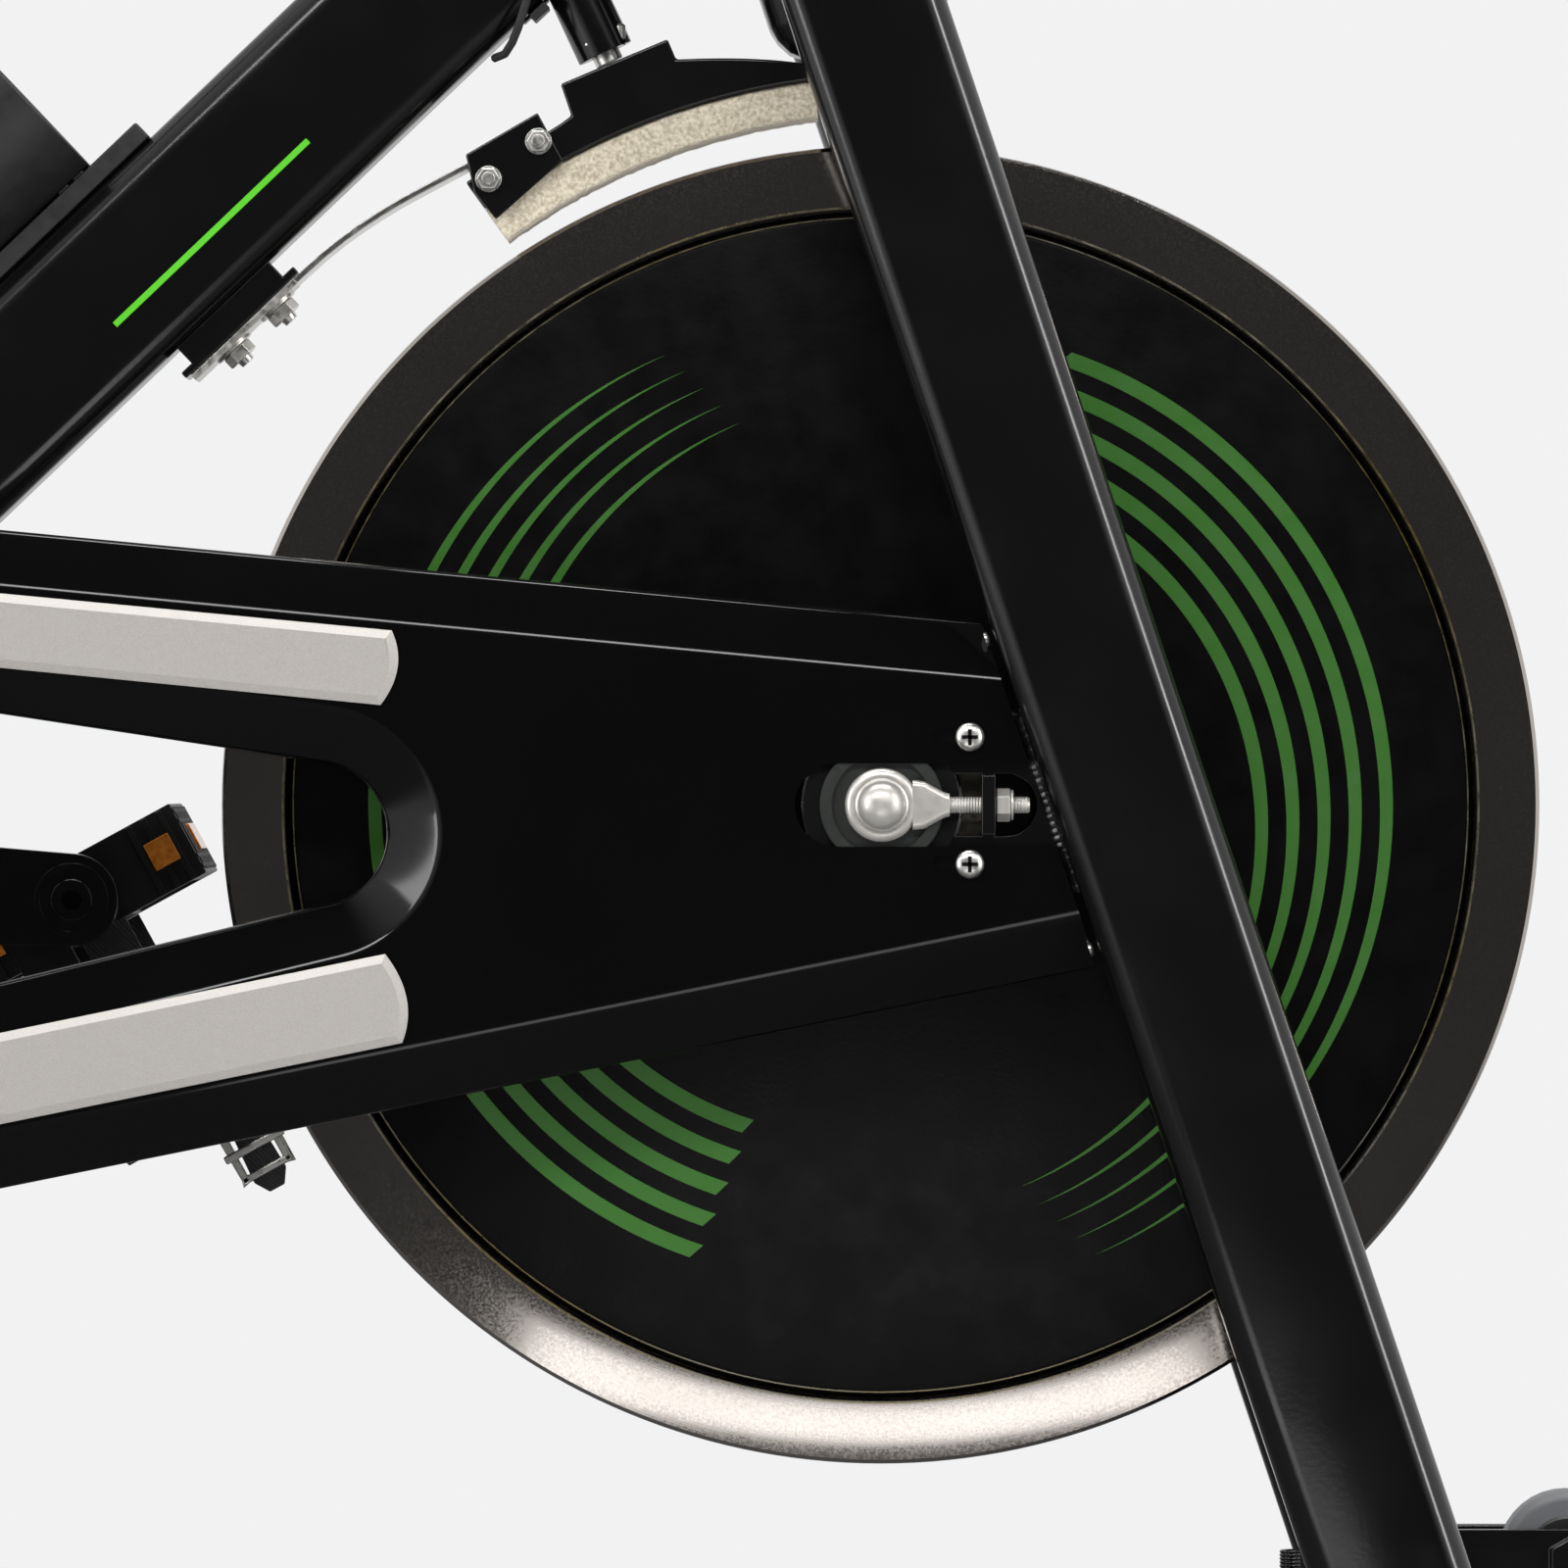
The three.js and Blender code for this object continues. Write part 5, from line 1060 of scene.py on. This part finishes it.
lock_places = [at_y(lifted([[x, 259.5]])[0], y) for x, y in ((-97.5, -7.0), (-86.5, -4.8))]
piece(
    "brake_lock_screws",
    [turned(lock_profile, spot, UP, 20) for spot in lock_places],
    zinc,
    "brake_shoe",
)

# ------------------------------------------------------------------ cranks, chainring and chain
# Forged steel arms under gloss enamel, pressed on a square spindle. The roller chain is one loop.
enamel = coating("gloss_black_enamel", (50, "#080808", "#0e0d0d"), (12, 0.12, 0.2), (2.4, 1.0, 0.02))
eased("crank_spindle", zinc, "cranks")
eased("chainring", enamel, "cranks")
CRANK_LENGTH, CRANK_LEAN = 165, way(-2.9)
CRANK_END = {"left": CRANK + CRANK_LENGTH * CRANK_LEAN, "right": CRANK - CRANK_LENGTH * CRANK_LEAN}
for word, side in (("right", -1), ("left", 1)):
    eased("crank_arm_" + word, enamel, "cranks", edge=2.2, segments=3)
    outward = np.array([0.0, float(side), 0.0])
    centre = at_y(CRANK_END[word])
    piece(
        "crank_eye_%s_rings" % word,
        [
            turned([(11.2, 71.4), (13.2, 71.4), (13.2, 72.4), (11.2, 72.4)], centre, outward, 48),
            turned([(0, 71.0), (7.0, 71.0), (7.6, 71.6), (7.6, 72.4), (0, 72.4)], centre, outward, 48),
        ],
        enamel,
        "cranks",
        edge=0.3,
    )
    # No hex socket is cut in the crank eye. A thin dark hexagon standing just proud of its face is painted
    # shade for the socket's hollow.
    piece("crank_eye_%s_socket" % word, [hexagon(4.0, outward, 70.85, 71.2, centre)], black_plastic_and_recess_shade, "cranks")
chain_steel = coating("oiled_chain_steel", (6, "#4a4640", "#6b655c"), (3, 0.25, 0.45), metallic=1.0)
PITCH, RING_TEETH, SMALL_TEETH, CHAIN_Y = 12.7, 52, 16, -42
chain_ring, chain_small = (PITCH / 2 / math.sin(math.pi / teeth) for teeth in (RING_TEETH, SMALL_TEETH))
chain_angle = math.degrees(math.atan2(*(-CRANK)[::-1]))
chain_wrap = math.degrees(math.acos((chain_ring - chain_small) / np.linalg.norm(CRANK)))
loop = np.concatenate(
    [
        arc(CRANK, chain_ring, chain_angle + chain_wrap, chain_angle - chain_wrap + 360, 200),
        arc(np.zeros(2), chain_small, chain_angle - chain_wrap, chain_angle + chain_wrap, 60),
    ]
)
loop = np.vstack([loop, loop[:1]])
passed = np.concatenate([[0], np.cumsum(np.linalg.norm(np.diff(loop, axis=0), axis=1))])
links = int(round(passed[-1] / PITCH))
links -= links % 2
joints_at = np.linspace(0, passed[-1], links, endpoint=False)
pins = np.stack([np.interp(joints_at, passed, loop[:, k]) for k in range(2)], 1)
next_pins = np.roll(pins, -1, axis=0)
LINK_R, half_pitch = 3.9, np.array([PITCH / 2, 0.0])
link_outline = np.concatenate([arc(half_pitch, LINK_R, -90, 90, 7), arc(-half_pitch, LINK_R, 90, 270, 7)])
roller = [(0, -4.2), (1.8, -4.2), (1.8, -1.9), (3.6, -1.9), (3.6, 1.9), (1.8, 1.9), (1.8, 4.2), (0, 4.2)]
link_parts = []
for k in range(links):
    middle, run = (pins[k] + next_pins[k]) / 2, next_pins[k] - pins[k]
    run /= np.linalg.norm(run)
    flat = middle + link_outline[:, :1] * run + link_outline[:, 1:] * np.array([-run[1], run[0]])
    out = 3.6 if k % 2 else 2.5
    for plate_y in (CHAIN_Y - out, CHAIN_Y + out):
        link_parts.append(prism(flat, plate_y - 0.45, plate_y + 0.45))
    link_parts.append(turned(roller, at_y(pins[k], CHAIN_Y), LATHE, 8))
piece("chain_links", link_parts, chain_steel, nodes=["drive_chain"], angle=35)

# ------------------------------------------------------------------ pedals, toe cages and straps
# Moulded nylon platforms with a ribbed rim and amber reflectors. A wire-stiff nylon cage holds the toe,
# closed by a woven strap with a sprung metal buckle.
def cells_of(tree, scale):
    """How far the shaded point is from the middle of its cell, for a pattern with scale cells a metre."""
    return add(tree, "ShaderNodeTexVoronoi", {"Vector": object_place(tree), "Scale": scale}).outputs[0]


nylon = coating("moulded_black_nylon", (30, "#121212", "#191919"), (5, 0.38, 0.52), (0.9, 2.0, 0.03))
amber, tree = new_material("amber_reflector_acrylic")
prisms = cells_of(tree, 420.0)
surface_shader(
    tree,
    two_colours(tree, prisms, "#b2560a", "#d98a2a"),
    between(tree, grain(tree, 3), 0.08, 0.18),
    normal=bump(tree, prisms, 0.15),
    Coat_Weight=0.6,
)
webbing, tree = new_material("woven_nylon_webbing")
weave = {"Vector": object_place(tree), "Scale": 330.0}
weft = add(tree, "ShaderNodeTexWave", weave, bands_direction="DIAGONAL").outputs["Fac"]
surface_shader(
    tree,
    two_colours(tree, weft, "#0c0c0c", "#1e1e1f"),
    between(tree, weft, 0.7, 0.9),
    normal=bump(tree, weft, 0.25),
    Sheen_Weight=0.2,
)
PEDAL_X, PEDAL_Z = way(208.6), way(298.6)  # the pedals hang with their toe cages down
PEDAL_Y = 139


def pedal_part(centre, side, part):
    """A part given in the pedal's own axes, with y outwards from the crank, placed at the pedal's axle."""
    corners = part[0]
    flat = centre + corners[:, :1] * PEDAL_X + corners[:, 2:] * PEDAL_Z
    return np.stack([flat[:, 0], side * (PEDAL_Y + corners[:, 1]), flat[:, 1]], 1), part[1]


# In the pedal's axes: ribs and teeth, reflectors, the strap's middle line over the cage, and its buckle.
ribs = [block(x, x + 1.6, -45.8, 45.8, z - 0.9, z + 0.9) for x in (-46.4, 44.8) for z in (-11, -7, 7, 11)]
ribs += [
    block(x, x + 2.4, y, y + 1.4, -13.6, 13.6) for x in (-42, -36, -30, 28, 34, 40) for y in (-46.8, 45.4)
]
ribs += [block(-46.6, -44.6, y, y + 2.0, -12.5, 12.5) for y in np.linspace(-43, 41, 11)]
reflectors = [
    block(-40.5, -30.5, -47.2, -44, -5.2, 5.2),
    block(30.5, 40.5, -47.2, -44, -5.2, 5.2),
    block(-47.6, -46, -22, 22, -5.2, 5.2),
]
strap_up = np.array([[-47.6, 14], [-48.2, 40], [-47.4, 72], [-42, 90], [-30, 97.4]])
strap_path = np.concatenate([strap_up, [[0, 98.6]], strap_up[::-1] * [-1, 1]])
t = np.linspace(0, len(strap_path) - 1, 70)
line = np.stack([np.interp(t, np.arange(len(strap_path)), strap_path[:, k]) for k in range(2)], 1)
line = np.insert(line, 0, -4.0, axis=1)
normals = np.gradient(line, axis=0)
normals /= np.linalg.norm(normals, axis=1)[:, None]
away = np.cross(normals, [1.0, 0, 0])
strap_rings = [
    [point + np.array([dx, 0, 0]) + out * lift for dx, lift in ((-9, -0.7), (9, -0.7), (9, 0.7), (-9, 0.7))]
    for point, out in zip(line, away)
]
buckle = [
    block(-22, -2, -1.6, 1.6, 99.5, 102.3),
    block(-22, -19.2, -1.6, 1.6, 99.5, 119),
    block(-4.8, -2, -1.6, 1.6, 99.5, 119),
    block(-22, -2, -1.6, 1.6, 116.2, 119),
    block(-24, 0, -2.6, 2.6, 106.5, 109.5),
]
tail_outline = [[-17.5, 102], [-6.5, 102], [-5.5, 120], [-9, 125.4], [-15, 125.4], [-18.5, 120]]
for word, side in (("right", -1), ("left", 1)):
    centre, body = CRANK_END[word], "pedal_" + word
    eased("pedal_" + word, nylon, body, edge=1.0, segments=2)
    eased("toe_cage_" + word, nylon, body, edge=0.8, segments=2)
    for name, parts, material, finish in (
        ("ribs", ribs, nylon, {"edge": 0.3}),
        ("reflectors", reflectors, amber, {"edge": 0.5}),
        ("strap", [swept(strap_rings)], webbing, {"edge": 0.3}),
        ("buckle", buckle, zinc, {"edge": 0.7, "segments": 3}),
        ("strap_end", [prism(tail_outline, -1.0, 1.0)], webbing, {"edge": 0.5}),
    ):
        placed = [pedal_part(centre, side, part) for part in parts]
        piece("pedal_%s_%s" % (word, name), placed, material, body, **finish)

# ------------------------------------------------------------------ stabilisers, castors and feet
# The cross tubes stand on moulded pads that screw up and down. Grey tyred castors run on shouldered bolts.
tyre = coating("grey_castor_rubber", (14, "#5c5d60", "#6a6b6e"), (4, 0.5, 0.62), (1.0, 2.0, 0.03))
soft_rubber = coating("moulded_black_rubber", (12, "#171717", "#202020"), (3, 0.7, 0.85), (1.1, 2.0, 0.06))
hub_profile = [(4.6, 11.05), (6.5, 11.9), (14.5, 11.9), (15.5, 11.05)]
for word, side in (("right", -1), ("left", 1)):
    eased("castor_bracket_" + word, powder_coat, edge=0.9, segments=3)
    eased("castor_wheel_" + word, tyre, "castor_" + word, edge=0.9, segments=3)
    hub_at = np.array([251.5, side * 192.0, -274.4])
    piece(
        "castor_hub_" + word,
        [turned(np.array(hub_profile) * [1, s], hub_at, LATHE, 48) for s in (-1, 1)],
        nylon,
        "castor_" + word,
    )
    for end in ("front", "rear"):
        eased("%s_foot_%s" % (end, word), soft_rubber, "%s_foot_%s" % (end, word), edge=0.5)
front_bolts = [(143.4, 0.0)]
rear_bolts = [(main_low[0] + x, y) for x in (-33.0, 39.0) for y in (-28.0, 28.0)]
plate_bolts = []
for x, y in front_bolts + rear_bolts:
    spot = np.array([x, y, FOOT + 5.0])
    plate_bolts += [
        turned([(0, 0), (9, 0), (9, 1.5), (0, 1.5)], spot, UP, 32),
        hexagon(7.4, UP, 1.5, 8.5, spot),
        thread(8.0, 18.5, 4.0, spot, UP, 1.25),
    ]
piece("foot_plate_bolts", plate_bolts, enamel, edge=0.2, angle=46)

# ------------------------------------------------------------------ posts, sleeves and knobs
# Chromed steel posts slide in nylon sleeves, and sprung pull pins with moulded knobs lock them.
chrome = coating(
    "polished_chrome_plate", (80, "#dcdad6", "#e8e6e3"), (25, 0.05, 0.1), (18, 1.0, 0.01), metallic=1.0
)
for node, body in (
    ("seat_post", "seat_post"),
    ("saddle_slide_bar", "saddle"),
    ("handlebar_post", "handlebar"),
):
    eased(node, chrome, body, edge=0.8, segments=3)
for node in ("seat_tube_sleeve", "head_tube_sleeve"):
    eased(node, nylon, edge=1.2, segments=3)
for node, body in (
    ("seat_post_knob", "seat_pin"),
    ("saddle_slide_knob", "saddle_pin"),
    ("handlebar_post_knob", "handlebar_pin"),
    ("brake_knob", "brake_knob"),
):
    eased(node, nylon, body, edge=2.4, segments=4)


def scale_marks(origin, direction, across, reach, first, last, step, y):
    """A ladder of printed marks up both sides of a post, one every step mm, each 1 mm wide."""
    parts = []
    for s in np.arange(first, last, step):
        middle = origin + direction * s
        ends = ((-0.5, -reach), (0.5, -reach), (0.5, reach), (-0.5, reach))
        corners = [middle + direction * a + across * b for a, b in ends]
        parts += [prism(corners, side * y, side * (y + 0.08)) for side in (-1, 1)]
    return parts


mark_print = coating("black_pad_print", (9, "#101010", "#1a1a1a"), (4, 0.4, 0.5))
seat_marks = scale_marks(seat_base, seat_up, seat_across, 6, 330, 500, 12.7, 15.0)
piece("seat_post_marks", seat_marks, mark_print, "seat_post")
bar_marks = scale_marks(HEAD, fork_up, fork_across, 6, 150, 300, 12.7, 17.0)
piece("handlebar_post_marks", bar_marks, mark_print, "handlebar")

# ------------------------------------------------------------------ saddle
# Polyurethane foam on a nylon pan, under a grained vinyl cover with a sewn edge and a middle channel.
vinyl, tree = new_material("grained_black_vinyl")
pebble = cells_of(tree, 620.0)
surface_shader(
    tree,
    two_colours(tree, grain(tree, 40), "#131313", "#1b1a1a"),
    between(tree, pebble, 0.42, 0.6),
    normal=bump(tree, pebble, 0.12),
)
thread_black = coating("bonded_nylon_thread", (1.5, "#2e2e30", "#3c3c3e"), (2, 0.55, 0.7))
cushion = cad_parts["saddle_cushion"]
points = np.array([cushion.matrix_world @ v.co for v in cushion.data.vertices]) / MM - AXLE / MM
low, high = points.min(0), points.max(0)
stations = np.linspace(low[0] + 0.6, high[0] - 0.6, 70)
order = np.argsort(points[:, 0])
rim_x, rim_y = points[order, 0], np.abs(points[order, 1])
outline_x = np.linspace(low[0], high[0], 24)
outline_y = np.array([rim_y[np.abs(rim_x - x) < (high[0] - low[0]) / 22].max() for x in outline_x])
half_width = np.interp(stations, outline_x, outline_y)
half_width = np.convolve(np.pad(half_width, 4, mode="edge"), np.ones(9) / 9, mode="valid")
along = (stations - stations[0]) / (stations[-1] - stations[0])
ends = np.clip(np.minimum(along / 0.09, (1 - along) / 0.09), 0, 1)
half_width = np.minimum(half_width, high[1]) * np.sqrt(1 - (1 - ends) ** 2 * 0.96)
t = np.linspace(0, 2 * np.pi, 72, endpoint=False)
lift = (high[2] - low[2]) / 2
middle = (high[2] + low[2]) / 2


def saddle_ring(x, width, end, s):
    """A closed section: a squared-off oval, flatter below, crowned above, with a channel down the middle.
    Sideways is w |cos t|^0.62, up is h |sin t|^0.72 and down h |sin t|^0.42. The crown falls 4.5 mm to the
    sides, the channel is a bell-shaped dip 4.2 mm deep, and the seat dips 3 mm along the saddle."""
    c, n = np.cos(t), np.sin(t)
    y = width * np.sign(c) * np.abs(c) ** 0.62
    up = np.where(n > 0, lift * np.abs(n) ** 0.72, -lift * np.abs(n) ** 0.42)
    channel_depth = 4.2 * math.exp(-(((s - 0.45) / 0.3) ** 2))
    crown = np.where(n > 0, -4.5 * (y / max(width, 1)) ** 2 - channel_depth * np.exp(-((y / 11) ** 2)), 0)
    seat = np.where(n > 0, 3.0 * (math.cos(2 * math.pi * (s - 0.05)) - 1) * 0.5, 0)
    z = middle + up * (0.35 + 0.65 * math.sqrt(end)) + crown * math.sqrt(end) + seat
    return np.stack([np.full(len(t), x), y, np.clip(z, low[2], high[2])], 1)


saddle_cover = piece(
    "saddle_cover",
    [swept([saddle_ring(*row) for row in zip(stations, half_width, ends, along)])],
    vinyl,
    "saddle",
    nodes=["saddle_cushion"],
    angle=80,
    subdivide=1,
)
stitch = block(-1.1, 1.1, -0.35, 0.35, -0.35, 0.35)
SEAM_UP = 13  # the sewn edge's height above the saddle's underside
stitches = [
    lying(stitch, (x, side * width * 0.995, low[2] + SEAM_UP), (1, 0, 0))
    for side in (-1, 1)
    for x, width in zip(stations[6:-6], half_width[6:-6])
]
piece("saddle_stitches", stitches, thread_black, "saddle")
eased("saddle_base", nylon, "saddle", edge=1.0, segments=2)

# ------------------------------------------------------------------ handlebar and console
# Bent tube in a sleeve of closed-cell foam, with a small console in a moulded case.
foam, tree = new_material("closed_cell_foam")
cells = grain(tree, 0.8, 3.0)
surface_shader(
    tree,
    two_colours(tree, cells, "#141414", "#202020"),
    between(tree, cells, 0.78, 0.95),
    normal=bump(tree, cells, 0.12),
    Sheen_Weight=0.15,
)
grips = eased("handlebar_tube", foam, "handlebar", edge=0.0, angle=50)
eased("console", nylon, "handlebar", edge=1.6, segments=3)
eased("console_button", soft_rubber, "console_button", edge=0.8, segments=3)
eased("bottle_cage", nylon, edge=0.8, segments=2)
piece(
    "bottle_rail_clamp",
    [
        tube_block(287, 292, 30.3, 38.5, -13, 13),
        tube_block(294, 299, 30.3, 38.5, -13, 13),
        tube_block(286, 300, 30.3, 33.0, -13, 13),
        tube_block(284.5, 297, 38.3, 45.0, -9, 9),
        tube_block(286.5, 295, 44.5, 48.0, -7, 7),
    ],
    nylon,
    edge=0.9,
    segments=3,
)
eased("sensor_lead", soft_rubber)
piece(
    "sensor_lead_clip",
    [tube_block(128, 140, -30.9, -29.9, -6, 6), tube_block(130, 137, -33.6, -30.4, -14.5, 2)],
    nylon,
    edge=0.6,
    segments=3,
)
